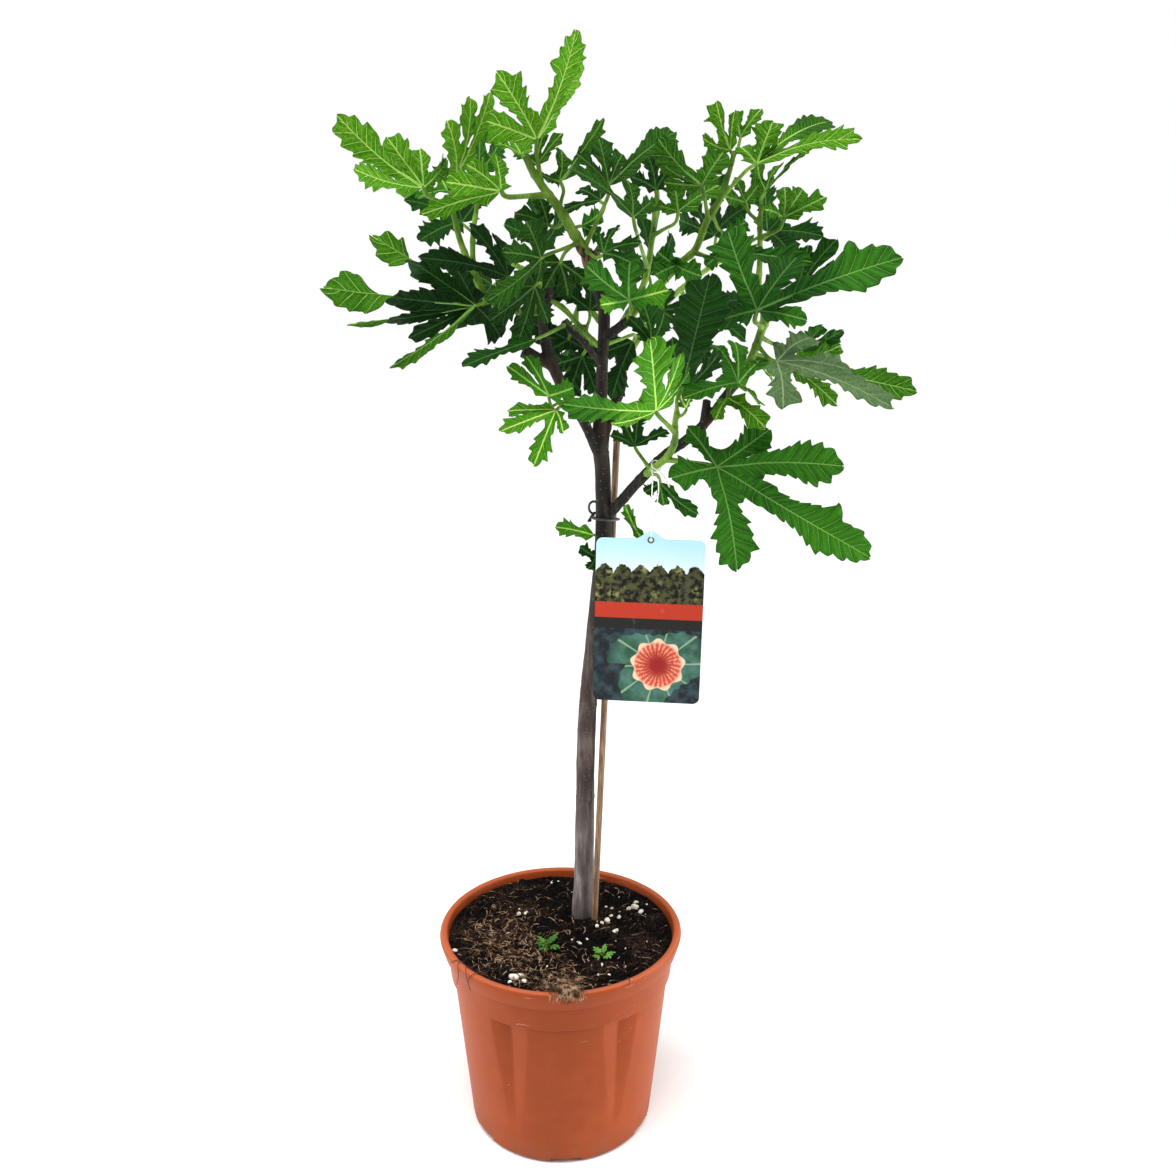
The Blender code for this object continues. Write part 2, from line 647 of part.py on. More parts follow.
def leaf(root, base, lobes, radius=STALK_RADIUS, lift=(0, 0, 0)):
    """A lobed leaf on its stalk: two toothed strips along each midrib, joined at the bays between lobes."""
    base = at(*base)
    normal = leaf_normal(base, lobes)
    back, gap = gap_between(base, lobes, normal)
    spots = [(base, normal, False)]
    faces = []
    outline = []

    def add(place, facing, pointed):
        spots.append((place, facing, pointed))
        return len(spots) - 1

    def frame_at(lobe, share):
        """Midrib point, sideways direction and facing at a share of a lobe's length."""
        reach = lobe.tip - base
        length = reach.length
        middle = base + reach * share + normal * (4 * share * (1 - share) * lobe.arch * length)
        along = (reach + normal * (4 * (1 - 2 * share) * lobe.arch * length)).normalized()
        turn = lobe.roll + lobe.twist * max(0.0, (share - 0.35) / 0.65)
        facing = (normal - along * normal.dot(along)).normalized()
        facing = Matrix.Rotation(turn, 3, along) @ facing
        return middle, facing.cross(along), facing

    def edge_at(lobe, share, width, side):
        middle, across, facing = frame_at(lobe, share)
        return middle + across * (width * side) + facing * (CUP * width), facing

    def room(index, side, share):
        """The widest that a lobe may be on one side at a share of its length, so that it stays off what is beside it."""
        beside = index - side
        reach = lobes[index].tip - base
        if 0 <= beside < len(lobes):
            spread = reach.angle(lobes[beside].tip - base)
            return share * reach.length * math.tan(min(spread, 2.4) / 2) * 0.92
        if gap > 2.9:
            return 1.0
        clear = share * reach.length * math.sin(gap / 2) - radius - 0.0010
        return max(clear / math.cos(gap / 2), lobes[index].half * 0.15)

    def bay(one, other):
        first, facing = edge_at(one, SINUS, one.half * 0.70, -1)
        second, other_facing = edge_at(other, SINUS, other.half * 0.70, 1)
        return add((first + second) / 2, (facing + other_facing).normalized(), False)

    bays = [bay(one, other) for one, other in zip(lobes, lobes[1:])]
    for index, lobe in enumerate(lobes):
        length = (lobe.tip - base).length
        teeth = 3 if length > LONG_LOBE else 2 if length > SHORT_LOBE else 1
        shares = [SINUS + (1 - SINUS) * 0.93 * step / teeth for step in range(teeth + 1)]
        rib = [0]
        for share in shares:
            middle, across, facing = frame_at(lobe, share)
            rib.append(add(middle, facing, False))
        end, across, facing = frame_at(lobe, 1.0)
        point = add(end, facing, True)
        chains = []
        for side in (1, -1):
            if side == 1 and index > 0:
                start = bays[index - 1]
            elif side == -1 and index < len(lobes) - 1:
                start = bays[index]
            else:
                start = add(*edge_at(lobe, SINUS, min(lobe.half * 0.74, room(index, side, SINUS)), side), False)
            chain = [start]
            for step in range(teeth):
                share = shares[step] + (shares[step + 1] - shares[step]) * 0.78
                reach = lobe.half * (1.12 - 4.5 * (share - 0.65) ** 2)
                if lobe.spur and lobe.spur[:2] == (side, step):
                    reach = lobe.spur[2]
                reach = min(reach, room(index, side, share))
                chain.append(add(*edge_at(lobe, share, reach, side), True))
                width = lobe.half * (0.68 - 2.6 * (shares[step + 1] - 0.62) ** 2)
                width = min(width, room(index, side, shares[step + 1]) * 0.85)
                chain.append(add(*edge_at(lobe, shares[step + 1], width, side), False))
            half = [(0, rib[1], chain[0])]
            for step in range(teeth):
                notch, tooth, after = chain[2 * step:2 * step + 3]
                half.append((rib[step + 1], rib[step + 2], after))
                half.append((rib[step + 1], after, notch))
                half.append((notch, after, tooth))
            half.append((rib[-1], point, chain[-1]))
            faces += half if side == 1 else [face[::-1] for face in half]
            chains.append(chain)
        outline += chains[0] if index == 0 else chains[0][1:]
        outline += [point] + chains[1][::-1]

    shoulders = []
    for start in (outline[0], outline[-1]):
        way = (spots[start][0] - base).normalized() * 0.7 + back
        shoulders.append(add(base + way.normalized() * radius, normal, True))
    left, right = shoulders
    faces += [(0, outline[0], left), (0, right, outline[-1])]
    outline = [left] + outline + [right]
    vertices, solid, above, below = solid_sheet(spots, faces, outline)

    way = (back + (root - base).normalized() * 0.8).normalized()
    joint = base + way * min(0.008, 0.4 * (root - base).length)
    line = arc(root, joint, Vector(lift), 2) + [base]
    rings = []
    ahead = -back
    up = normal
    for index in range(len(line) - 2, -1, -1):
        along = (line[index + 1] - line[max(index - 1, 0)]).normalized()
        up = ahead.rotation_difference(along) @ up
        ahead = along
        wide = up.cross(along)
        size = radius * (1.25 if index == 0 else 1.0)
        middle = line[index]
        rings.insert(0, list(range(len(vertices), len(vertices) + 4)))
        vertices += [middle + up * size, middle + wide * size, middle - up * size, middle - wide * size]
    rings.append([above[0], above[left], below[0], above[right]])
    for one, other in zip(rings, rings[1:]):
        for turn in range(4):
            beside = (turn + 1) % 4
            solid.append((one[turn], one[beside], other[beside], other[turn]))
    solid.append(tuple(rings[0]))
    return mesh_object("leaf", vertices, solid)


def solid_sheet(spots, faces, outline):
    """Gives a sheet its thickness, all but where the stalk joins. Pointed spots stay one vertex each."""
    vertices = []
    above = []
    below = []
    for place, facing, pointed in spots:
        thick = 0.0 if pointed else BLADE / 2
        above.append(len(vertices))
        vertices.append(place + facing * thick)
        if not pointed:
            vertices.append(place - facing * thick)
        below.append(len(vertices) - 1)
    solid = [tuple(above[corner] for corner in face) for face in faces]
    solid += [tuple(below[corner] for corner in face[::-1]) for face in faces]
    for one, other in zip(outline, outline[1:]):
        rim = [above[one], above[other], below[other], below[one]]
        rim = [corner for place, corner in enumerate(rim) if corner not in rim[:place]]
        if len(rim) == 4:
            solid.append((rim[0], rim[1], rim[2]))
            solid.append((rim[0], rim[2], rim[3]))
        elif len(rim) == 3:
            solid.append(tuple(rim))
    return vertices, solid, above, below


def place(root, base, *lobes, radius=STALK_RADIUS, lift=(0, 0, 0)):
    """A leaf as (root in its stem as it shows in front, base, lobes clockwise as they show in front, stalk, lift)."""
    return root, base, lobes, radius, lift


def drop_scraps(body):
    """Keeps only the largest of the loose pieces that a cut left. Pieces that share no more than an edge are loose."""
    built = bmesh.new()
    built.from_mesh(body.data)
    unseen = set(built.faces)
    islands = []
    while unseen:
        heap = [unseen.pop()]
        island = []
        while heap:
            face = heap.pop()
            island.append(face)
            for edge in face.edges:
                if len(edge.link_faces) != 2:
                    continue
                for other in edge.link_faces:
                    if other in unseen:
                        unseen.discard(other)
                        heap.append(other)
        islands.append(island)
    islands.sort(key=lambda island: sum(face.calc_area() for face in island))
    for island in islands[:-1]:
        bmesh.ops.delete(built, geom=island, context="FACES")
    built.to_mesh(body.data)
    built.free()


def make_shoot(name, lines, leaves, wood, color, sides=6):
    """Stems and the leaves on them as one body, standing a gap off the wood that they grow from."""
    pieces = [tube("stem", line.points, line.radii, sides) for line in lines]
    for root, base, lobes, radius, lift in leaves:
        nearest = min(
            (on_stem(line, *root) for line in (lines or wood)),
            key=lambda point: (seen(point) - Vector(root)).length,
        )
        pieces.append(leaf(nearest, base, lobes, radius, lift))
    body = fuse(name, pieces)
    limbs = [tube("limb", line.points, [radius + GAP for radius in line.radii], WOOD_SIDES[WOOD.index(line)]) for line in wood]
    if limbs:
        cut(body, limbs)
    drop_scraps(body)
    return finish(body, color, 0.5)


# Shoots and the places of their leaves

TOP_SHOOT = stem(
    (588, 254, 0.0185, 0.0040), (575, 235, 0.0120, 0.0043), (560, 210, 0.0050, 0.0039),
    (545, 190, 0.0000, 0.0034), (532, 170, -0.0040, 0.0031), (526, 156, -0.0060, 0.0028),
)
LEFT_SHOOT = stem(
    (549, 307, -0.0153, 0.0027), (533, 313, -0.0165, 0.0030), (512, 310, -0.0120, 0.0030), (488, 300, -0.0080, 0.0030),
    (470, 265, 0.0000, 0.0027), (460, 240, 0.0040, 0.0025), (454, 216, 0.0060, 0.0023), (450, 205, 0.0070, 0.0020),
)
LEFT_SHOOT_BACK = stem(
    (486, 297, -0.0080, 0.0026), (474, 268, 0.0120, 0.0024), (473, 235, 0.0240, 0.0022),
    (476, 213, 0.0300, 0.0020), (478, 195, 0.0340, 0.0018),
)
LOWER_SHOOT = stem(
    (645, 475, 0.0005, 0.0034), (655, 467, -0.0140, 0.0030), (668, 456, -0.0250, 0.0030),
    (675, 440, -0.0400, 0.0028), (675, 424, -0.0500, 0.0024), (677, 412, -0.0550, 0.0024),
)
OUTER_SHOOT = stem(
    (735, 385, -0.0190, 0.0030), (750, 361, -0.0190, 0.0032), (760, 335, -0.0260, 0.0032), (765, 316, -0.0300, 0.0036),
    (759, 290, -0.0280, 0.0024), (760, 255, -0.0200, 0.0021), (760, 220, -0.0100, 0.0019), (762, 206, -0.0060, 0.0016),
)
RIGHT_SHOOT = stem(
    (627, 321, 0.0040, 0.0030), (645, 300, 0.0000, 0.0029), (665, 280, -0.0120, 0.0029), (679, 264, -0.0200, 0.0028),
    (695, 250, -0.0200, 0.0027), (705, 225, -0.0200, 0.0026), (712, 212, -0.0200, 0.0028), (720, 200, -0.0210, 0.0023),
    (727, 180, -0.0220, 0.0020), (734, 154, -0.0220, 0.0017),
)
MIDDLE_SHOOT = stem(
    (620, 326, 0.0070, 0.0026), (636, 300, 0.0300, 0.0027), (646, 277, 0.0450, 0.0026), (652, 240, 0.0500, 0.0024),
    (656, 212, 0.0500, 0.0030), (657, 196, 0.0490, 0.0022), (657, 186, 0.0480, 0.0014),
)
INNER_SHOOT = stem(
    (602, 348, 0.0180, 0.0026), (590, 338, 0.0340, 0.0025), (576, 322, 0.0440, 0.0023), (562, 306, 0.0480, 0.0020),
)
LOW_LEFT_SHOOT = stem((582, 416, 0.0060, 0.0022), (572, 411, 0.0000, 0.0021), (562, 402, -0.0160, 0.0018))
BACK_LEFT_SHOOT = stem(
    (613, 336, 0.0930, 0.0030), (580, 300, 0.1030, 0.0028), (545, 280, 0.1150, 0.0026), (510, 262, 0.1260, 0.0024),
    (480, 240, 0.1300, 0.0020),
)
BACK_RIGHT_SHOOT = stem(
    (620, 368, 0.0780, 0.0030), (650, 322, 0.0950, 0.0028), (680, 290, 0.1100, 0.0026), (712, 266, 0.1220, 0.0024),
    (745, 245, 0.1270, 0.0020),
)

TOP_LEAVES = [
    place(
        (541, 185), (536, 139, -0.012),
        tip(487, 121, -0.030, 0.013), tip(497, 73, -0.030, 0.014),
        tip(575, 31, -0.030, 0.0135, spur=(1, 1, 0.021)), tip(581, 54, 0.030, 0.010),
        radius=0.0017,
    ),
    place((540, 188), (521, 156, 0.010), tip(489, 141, 0.0, 0.009), tip(500, 128, 0.030, 0.009), tip(530, 135, 0.040, 0.007)),
    place(
        (546, 197), (500, 191, -0.040),
        tip(421, 215, -0.060, 0.012), tip(446, 182, -0.070, 0.013), tip(467, 165, -0.050, 0.010), tip(495, 155, -0.020, 0.011),
        radius=0.0020,
    ),
    place(
        (558, 210), (560, 181, 0.0),
        tip(541, 173, 0.020, 0.007), tip(561, 151, 0.020, 0.010), tip(603, 119, -0.020, 0.006), tip(601, 129, 0.030, 0.006),
    ),
    place((545, 190), (538, 165, 0.030), tip(515, 150, 0.040, 0.006), tip(545, 131, 0.035, 0.006), tip(562, 134, 0.030, 0.006)),
    place((572, 230), (582, 226, 0.020), tip(600, 213, 0.030, 0.009), tip(599, 236, 0.030, 0.008)),
    place(
        (580, 243), (540, 258, -0.030),
        tip(532, 292, -0.020, 0.008), tip(488, 300, -0.070, 0.012), tip(503, 252, -0.060, 0.010), tip(526, 222, -0.040, 0.014),
    ),
    place(
        (584, 249), (608, 186, -0.010),
        tip(577, 155, -0.020, 0.008), tip(598, 138, 0.0, 0.013), tip(622, 155, 0.020, 0.008),
        tip(674, 133, 0.040, 0.010, spur=(1, 1, 0.015)),
    ),
    place((584, 248), (600, 200, 0.040), tip(562, 212, 0.030, 0.006), tip(580, 189, 0.050, 0.007), tip(604, 176, 0.060, 0.006)),
    place(
        (585, 251), (604, 253, -0.020),
        tip(600, 234, 0.0, 0.006), tip(616, 227, 0.0, 0.008), tip(640, 243, -0.042, 0.007), tip(640, 268, -0.055, 0.009),
    ),
]
LEFT_LEAVES = [
    place(
        (451, 208), (423, 187, -0.040),
        tip(355, 169, -0.010, 0.010), tip(338, 116, -0.070, 0.013, spur=(-1, 1, 0.021)),
        tip(388, 138, -0.040, 0.013), tip(420, 150, -0.020, 0.008), tip(446, 161, 0.0, 0.009),
        radius=0.0017,
    ),
    place((452, 208), (447, 190, 0.020), tip(418, 198, 0.0, 0.007), tip(432, 172, 0.040, 0.008)),
    place((450, 205), (456, 174, 0.0), tip(447, 122, -0.020, 0.011), tip(470, 99, 0.0, 0.0125), tip(489, 94, 0.012, 0.009)),
    place((478, 197), (478, 172, 0.060), tip(460, 146, 0.060, 0.008), tip(478, 117, 0.080, 0.013), tip(499, 140, 0.100, 0.010)),
    place(
        (488, 300), (476, 306, -0.030),
        tip(500, 337, -0.008, 0.016), tip(392, 367, -0.060, 0.013), tip(409, 338, -0.030, 0.010),
        tip(349, 325, -0.050, 0.010), tip(324, 288, -0.080, 0.017, twist=-70), tip(373, 237, -0.040, 0.017, twist=-50),
        tip(457, 270, 0.0, 0.012),
        radius=0.0018,
    ),
    place((495, 303), (508, 277, 0.010), tip(421, 258, -0.060, 0.009), tip(470, 225, 0.0, 0.013), tip(496, 236, 0.030, 0.009)),
]
LOW_LEFT_LEAVES = [
    place(
        (566, 406), (556, 410, -0.030),
        tip(563, 432, -0.030, 0.006), tip(534, 465, -0.050, 0.010), tip(501, 431, -0.060, 0.007), tip(508, 411, -0.020, 0.007),
    ),
    place(
        (562, 402), (549, 396, -0.035),
        tip(509, 367, -0.040, 0.007), tip(526, 356, -0.030, 0.007), tip(573, 388, -0.030, 0.010),
        radius=0.0013,
    ),
]
INNER_LEAVES = [
    place((600, 347), (633, 341, 0.046), tip(612, 398, 0.046, 0.012), tip(574, 368, 0.066, 0.012)),
    place((594, 342), (582, 356, 0.030), tip(596, 392, 0.035, 0.010), tip(568, 396, 0.030, 0.013), tip(548, 366, 0.040, 0.010)),
    place((578, 324), (568, 340, 0.045), tip(590, 352, 0.060, 0.010), tip(545, 352, 0.040, 0.012), tip(528, 322, 0.060, 0.012)),
    place((562, 306), (552, 300, 0.050), tip(515, 325, 0.050, 0.010), tip(508, 290, 0.050, 0.012), tip(545, 268, 0.070, 0.011)),
    place((585, 332), (590, 310, 0.055), tip(564, 290, 0.060, 0.010), tip(590, 268, 0.075, 0.012), tip(612, 292, 0.070, 0.009)),
]
CROSS_LEAF = [place((564, 325), (536, 339, -0.032), tip(463, 366, -0.070, 0.010, roll=55), radius=0.0014, lift=(0, -0.010, 0))]
MIDDLE_LEAVES = [
    place((655, 236), (678, 212, 0.030), tip(645, 205, 0.040, 0.007), tip(675, 187, 0.040, 0.010), tip(718, 186, 0.050, 0.011)),
    place(
        (647, 268), (632, 218, -0.040),
        tip(572, 170, -0.060, 0.009), tip(627, 181, -0.020, 0.014), tip(650, 203, 0.0, 0.008),
    ),
    place((653, 226), (656, 189, 0.030), tip(630, 176, 0.020, 0.007), tip(648, 156, 0.030, 0.010), tip(668, 170, 0.040, 0.007)),
]
RIGHT_LEAVES = [
    place(
        (629, 319), (629, 300, -0.100),
        tip(601, 305, -0.080, 0.007), tip(587, 266, -0.090, 0.012), tip(630, 262, -0.100, 0.013), tip(668, 290, -0.100, 0.010),
    ),
    place((640, 305), (652, 343, -0.085), tip(629, 318, -0.074, 0.009), tip(641, 300, -0.084, 0.012), tip(664, 313, -0.056, 0.010)),
    place(
        (655, 290), (662, 310, -0.030),
        tip(672, 290, -0.040, 0.006), tip(698, 303, -0.050, 0.009), tip(690, 332, -0.040, 0.008),
    ),
    place(
        (708, 219), (702, 185, -0.040),
        tip(665, 182, -0.020, 0.007), tip(655, 156, 0.0, 0.007), tip(659, 139, -0.050, 0.012), tip(723, 153, -0.030, 0.013),
    ),
    place(
        (732, 160), (731, 150, -0.024),
        tip(704, 138, 0.0, 0.006), tip(717, 102, -0.030, 0.0105, spur=(1, 1, 0.015)), tip(735, 112, -0.030, 0.007),
        radius=0.0014,
    ),
    place((733, 156), (741, 138, 0.0), tip(736, 112, 0.010, 0.006), tip(761, 110, 0.0, 0.007), radius=0.0013),
    place(
        (722, 198), (757, 165, -0.030),
        tip(741, 148, -0.010, 0.010), tip(773, 123, -0.030, 0.014), tip(829, 122, 0.030, 0.012), tip(860, 140, -0.060, 0.011),
    ),
    place((694, 254), (724, 250, -0.030), tip(706, 266, -0.030, 0.007), tip(744, 231, -0.030, 0.010), tip(812, 262, -0.050, 0.010)),
    place((712, 214), (727, 233, 0.0), tip(746, 222, 0.010, 0.008), tip(742, 246, 0.0, 0.007), radius=0.0013),
    place(
        (679, 264), (676, 265, -0.034),
        tip(655, 275, -0.050, 0.009), tip(658, 252, -0.030, 0.010), tip(701, 276, -0.060, 0.011),
    ),
]
OUTER_LEAVES = [
    place(
        (739, 380), (738, 383, -0.050),
        tip(684, 398, -0.092, 0.010), tip(713, 345, 0.012, 0.011), tip(735, 343, 0.014, 0.010), tip(764, 357, 0.0, 0.010),
        tip(757, 402, -0.030, 0.011),
    ),
    place((740, 378), (728, 398, -0.030), tip(765, 428, -0.060, 0.010), tip(716, 420, -0.040, 0.007)),
    place((752, 357), (760, 366, -0.020), tip(770, 362, 0.010, 0.005), tip(772, 380, -0.020, 0.006), radius=0.0012),
    place(
        (763, 328), (757, 310, -0.080),
        tip(716, 322, -0.066, 0.012), tip(728, 231, -0.064, 0.017), tip(797, 257, -0.050, 0.013, spur=(1, 1, 0.021)),
        tip(901, 258, -0.100, 0.015, spur=(1, 1, 0.021)), tip(806, 320, -0.080, 0.010),
        radius=0.0018,
    ),
    place(
        (757, 344), (777, 361, -0.080),
        tip(812, 338, -0.040, 0.012), tip(851, 371, -0.070, 0.013), tip(891, 407, -0.120, 0.013), tip(783, 408, -0.110, 0.012),
        radius=0.0017,
    ),
    place((753, 354), (790, 365, 0.0), tip(840, 346, 0.010, 0.009), tip(915, 391, -0.020, 0.011), tip(836, 404, 0.0, 0.008)),
    place((760, 336), (800, 350, 0.020), tip(822, 326, 0.0, 0.010), tip(842, 331, 0.0, 0.009)),
    place((762, 302), (800, 285, 0.0), tip(808, 246, 0.0, 0.008), tip(836, 240, -0.010, 0.010), tip(840, 266, -0.010, 0.008)),
    place((761, 208), (766, 193, 0.010), tip(758, 166, 0.030, 0.008), tip(781, 165, 0.040, 0.006), tip(815, 147, -0.010, 0.007)),
    place(
        (760, 224), (744, 203, 0.0),
        tip(724, 197, -0.020, 0.008), tip(734, 179, 0.0, 0.009), tip(760, 183, 0.020, 0.009),
    ),
    place(
        (760, 240), (783, 218, -0.020),
        tip(765, 210, -0.030, 0.008), tip(784, 188, -0.020, 0.009), tip(802, 190, 0.0, 0.009), tip(824, 198, -0.020, 0.008),
    ),
]
LOWER_LEAVES = [
    place(
        (676, 432), (656, 411, -0.100),
        tip(612, 424, -0.090, 0.006), tip(562, 404, -0.130, 0.012), tip(650, 340, -0.130, 0.016),
        tip(681, 354, -0.090, 0.010), tip(696, 358, -0.060, 0.007),
        radius=0.0017,
    ),
    place((651, 470), (635, 446, 0.020), tip(611, 435, 0.018, 0.008), tip(619, 417, 0.048, 0.010), tip(640, 409, 0.060, 0.009), tip(667, 431, 0.030, 0.007)),
    place(
        (664, 459), (717, 467, -0.052),
        tip(688, 428, -0.040, 0.009), tip(769, 430, -0.040, 0.014), tip(842, 466, -0.060, 0.016),
        tip(869, 557, -0.080, 0.015, spur=(1, 1, 0.023)), tip(737, 569, -0.080, 0.0165), tip(672, 478, -0.070, 0.013),
        radius=0.0018,
    ),
    place((647, 473), (660, 483, 0.010), tip(697, 514, 0.006, 0.008), tip(664, 505, 0.012, 0.006), tip(645, 492, 0.014, 0.006)),
    place((677, 414), (682, 391, -0.060), tip(672, 338, -0.050, 0.009), tip(710, 276, -0.108, 0.019), tip(720, 352, -0.045, 0.008)),
    place((677, 418), (686, 408, -0.058), tip(680, 390, -0.050, 0.005), tip(694, 392, -0.060, 0.004), radius=0.0013),
]
LOW_LEAF_LEFT = [place((602, 540), (594, 535, 0.014), tip(556, 527, 0.004, 0.008, roll=25), radius=0.0012)]
LOW_LEAF_UNDER = [place((601, 562), (596, 557, 0.0145), tip(588, 569, 0.014, 0.005), tip(580, 547, 0.012, 0.006), radius=0.0012)]
LOW_LEAF_RIGHT = [place((602, 562), (644, 543, 0.022), tip(625, 505, 0.024, 0.0050, arch=-0.10), radius=0.0012)]
BACK_LEFT_LEAVES = [
    place(
        (482, 242), (462, 222, 0.112),
        tip(420, 240, 0.060, 0.012), tip(405, 200, 0.090, 0.014), tip(440, 165, 0.130, 0.013), tip(480, 190, 0.170, 0.011),
    ),
    place((510, 262), (492, 285, 0.150), tip(474, 320, 0.110, 0.012), tip(430, 300, 0.160, 0.014), tip(450, 262, 0.210, 0.012)),
    place((545, 280), (540, 250, 0.150), tip(505, 225, 0.110, 0.012), tip(530, 195, 0.150, 0.014), tip(565, 210, 0.200, 0.012)),
    place((580, 300), (572, 325, 0.125), tip(596, 360, 0.165, 0.010), tip(560, 372, 0.110, 0.013), tip(535, 340, 0.075, 0.011)),
]
BACK_RIGHT_LEAVES = [
    place(
        (745, 245), (768, 232, 0.120),
        tip(765, 190, 0.170, 0.012), tip(805, 200, 0.120, 0.013), tip(822, 236, 0.070, 0.013), tip(795, 262, 0.050, 0.011),
    ),
    place(
        (712, 266), (715, 235, 0.150),
        tip(680, 220, 0.200, 0.011), tip(690, 185, 0.180, 0.013), tip(725, 175, 0.130, 0.014), tip(750, 205, 0.090, 0.011),
    ),
    place((680, 290), (700, 312, 0.130), tip(745, 300, 0.175, 0.013), tip(745, 340, 0.120, 0.013), tip(700, 362, 0.080, 0.012)),
    place((652, 320), (650, 275, 0.150), tip(620, 250, 0.110, 0.012), tip(640, 215, 0.140, 0.013), tip(672, 235, 0.190, 0.011)),
]

# Seedlings

SEEDLING_PLACES = ((-0.0120, -0.0213), (0.0375, -0.0366))


def make_seedling(name, foot, turn):
    """A sprig: a thin stalk with narrow leaves in pairs."""
    low = Vector((foot[0], foot[1], SOIL_LEVEL - 0.0095))
    bend = Vector((math.cos(turn), math.sin(turn), 0)) * 0.003
    top = low + Vector((0, 0, 0.0240)) + bend
    pieces = [tube("stalk", arc(low, top, bend * -0.2, 2), [0.0009, 0.0009, 0.0005], 5)]
    for step, share in enumerate((0.66, 0.80, 0.93)):
        root = low.lerp(top, share)
        angle = turn + step * math.radians(152)
        away = Vector((math.cos(angle), math.sin(angle), 0))
        reach = 0.0085 - 0.0012 * step
        points = [root, root + away * reach * 0.5 + Vector((0, 0, 0.0026)), root + away * reach + Vector((0, 0, 0.0030))]
        pieces.append(tube("needle", points, [0.0006, 0.0011, 0.0004], 3))
    return finish(fuse(name, pieces), (0.14, 0.30, 0.05), 0.5)


def main():
    for leftover in list(bpy.data.objects):
        bpy.data.objects.remove(leftover, do_unlink=True)
    green = (0.10, 0.23, 0.045)
    bright = (0.22, 0.40, 0.07)
    dark = (0.035, 0.085, 0.022)
    make_pot()
    make_soil(TRUNK, stake_line())
    make_trunk()
    make_stake()
    make_tie()
    make_label()
    make_thread()
    make_seedling("seedling_1", SEEDLING_PLACES[0], 0.4)
    make_seedling("seedling_2", SEEDLING_PLACES[1], 2.1)
    make_shoot("top_shoot", [TOP_SHOOT], TOP_LEAVES, [TRUNK], bright)
    make_shoot("left_shoot", [LEFT_SHOOT, LEFT_SHOOT_BACK], LEFT_LEAVES, [LEFT_BRANCH], bright)
    make_shoot("low_left_shoot", [LOW_LEFT_SHOOT], LOW_LEFT_LEAVES, [LEFT_BRANCH], green)
    make_shoot("inner_shoot", [INNER_SHOOT], INNER_LEAVES, [TRUNK, CROSS_TWIG], dark)
    make_shoot("cross_leaf", [], CROSS_LEAF, [CROSS_TWIG, LEFT_BRANCH], green)
    make_shoot("middle_shoot", [MIDDLE_SHOOT], MIDDLE_LEAVES, [SPUR_TWIG], green)
    make_shoot("right_shoot", [RIGHT_SHOOT], RIGHT_LEAVES, [SPUR_TWIG], bright)
    make_shoot("outer_shoot", [OUTER_SHOOT], OUTER_LEAVES, [RIGHT_BRANCH], green)
    make_shoot("lower_shoot", [LOWER_SHOOT], LOWER_LEAVES, [RIGHT_BRANCH], green)
    make_shoot("low_leaf_left", [], LOW_LEAF_LEFT, [TRUNK], green)
    make_shoot("low_leaf_under", [], LOW_LEAF_UNDER, [TRUNK], green)
    make_shoot("low_leaf_right", [], LOW_LEAF_RIGHT, [TRUNK], green)
    make_shoot("back_left_shoot", [BACK_LEFT_SHOOT], BACK_LEFT_LEAVES, [BACK_BRANCH], dark)
    make_shoot("back_right_shoot", [BACK_RIGHT_SHOOT], BACK_RIGHT_LEAVES, [BACK_BRANCH], dark)


main()
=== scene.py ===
import math
import random

import bmesh
import bpy
from mathutils import Matrix, Vector, noise


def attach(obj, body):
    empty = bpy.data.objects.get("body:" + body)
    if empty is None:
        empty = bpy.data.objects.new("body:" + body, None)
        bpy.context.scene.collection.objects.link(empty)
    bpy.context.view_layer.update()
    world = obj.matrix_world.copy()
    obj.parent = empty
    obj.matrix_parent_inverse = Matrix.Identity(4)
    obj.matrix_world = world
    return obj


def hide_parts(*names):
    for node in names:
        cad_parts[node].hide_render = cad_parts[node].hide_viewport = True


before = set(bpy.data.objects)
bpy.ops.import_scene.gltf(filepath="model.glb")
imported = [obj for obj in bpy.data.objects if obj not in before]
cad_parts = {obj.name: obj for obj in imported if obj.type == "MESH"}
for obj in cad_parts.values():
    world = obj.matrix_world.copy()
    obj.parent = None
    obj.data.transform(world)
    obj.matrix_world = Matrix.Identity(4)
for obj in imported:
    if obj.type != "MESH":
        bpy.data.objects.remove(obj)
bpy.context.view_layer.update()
print("frame loaded:", len(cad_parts), "solids")

# The front view that the plant's places are read in: a square picture, seen from the eye
frontView = {
    "size": 1176,
    "focal": 1203.0,
    "eye": Vector((0.024, -0.935, 0.74)),
    "pitch": math.radians(15.3),
    "sensor": 36.0,
}


# the point at a place in the front view, depth millimetres behind the pot's axis
def at(across, down, depth):
    size, focal, pitch = frontView["size"], frontView["focal"], frontView["pitch"]
    side = (across - size / 2) / focal
    rise = (size / 2 - down) / focal
    ray = Vector((
        side,
        rise * math.sin(pitch) + math.cos(pitch),
        rise * math.cos(pitch) - math.sin(pitch),
    ))
    return frontView["eye"] + ray * ((depth / 1000 - frontView["eye"].y) / ray.y)


def seen(point):  # where a point shows in the front view
    pitch = frontView["pitch"]
    way = point - frontView["eye"]
    ahead = way.y * math.cos(pitch) - way.z * math.sin(pitch)
    rise = way.y * math.sin(pitch) + way.z * math.cos(pitch)
    half = frontView["size"] / 2
    return Vector((way.x, -rise)) * (frontView["focal"] / ahead) + Vector((half, half))


def makeCamera():
    lens = bpy.data.cameras.new("camera")
    lens.sensor_width = frontView["sensor"]
    lens.lens = frontView["sensor"] * frontView["focal"] / frontView["size"]
    camera = bpy.data.objects.new("camera", lens)
    camera.location = frontView["eye"]
    camera.rotation_euler = (math.pi / 2 - frontView["pitch"], 0, 0)
    bpy.context.scene.collection.objects.link(camera)
    bpy.context.scene.camera = camera


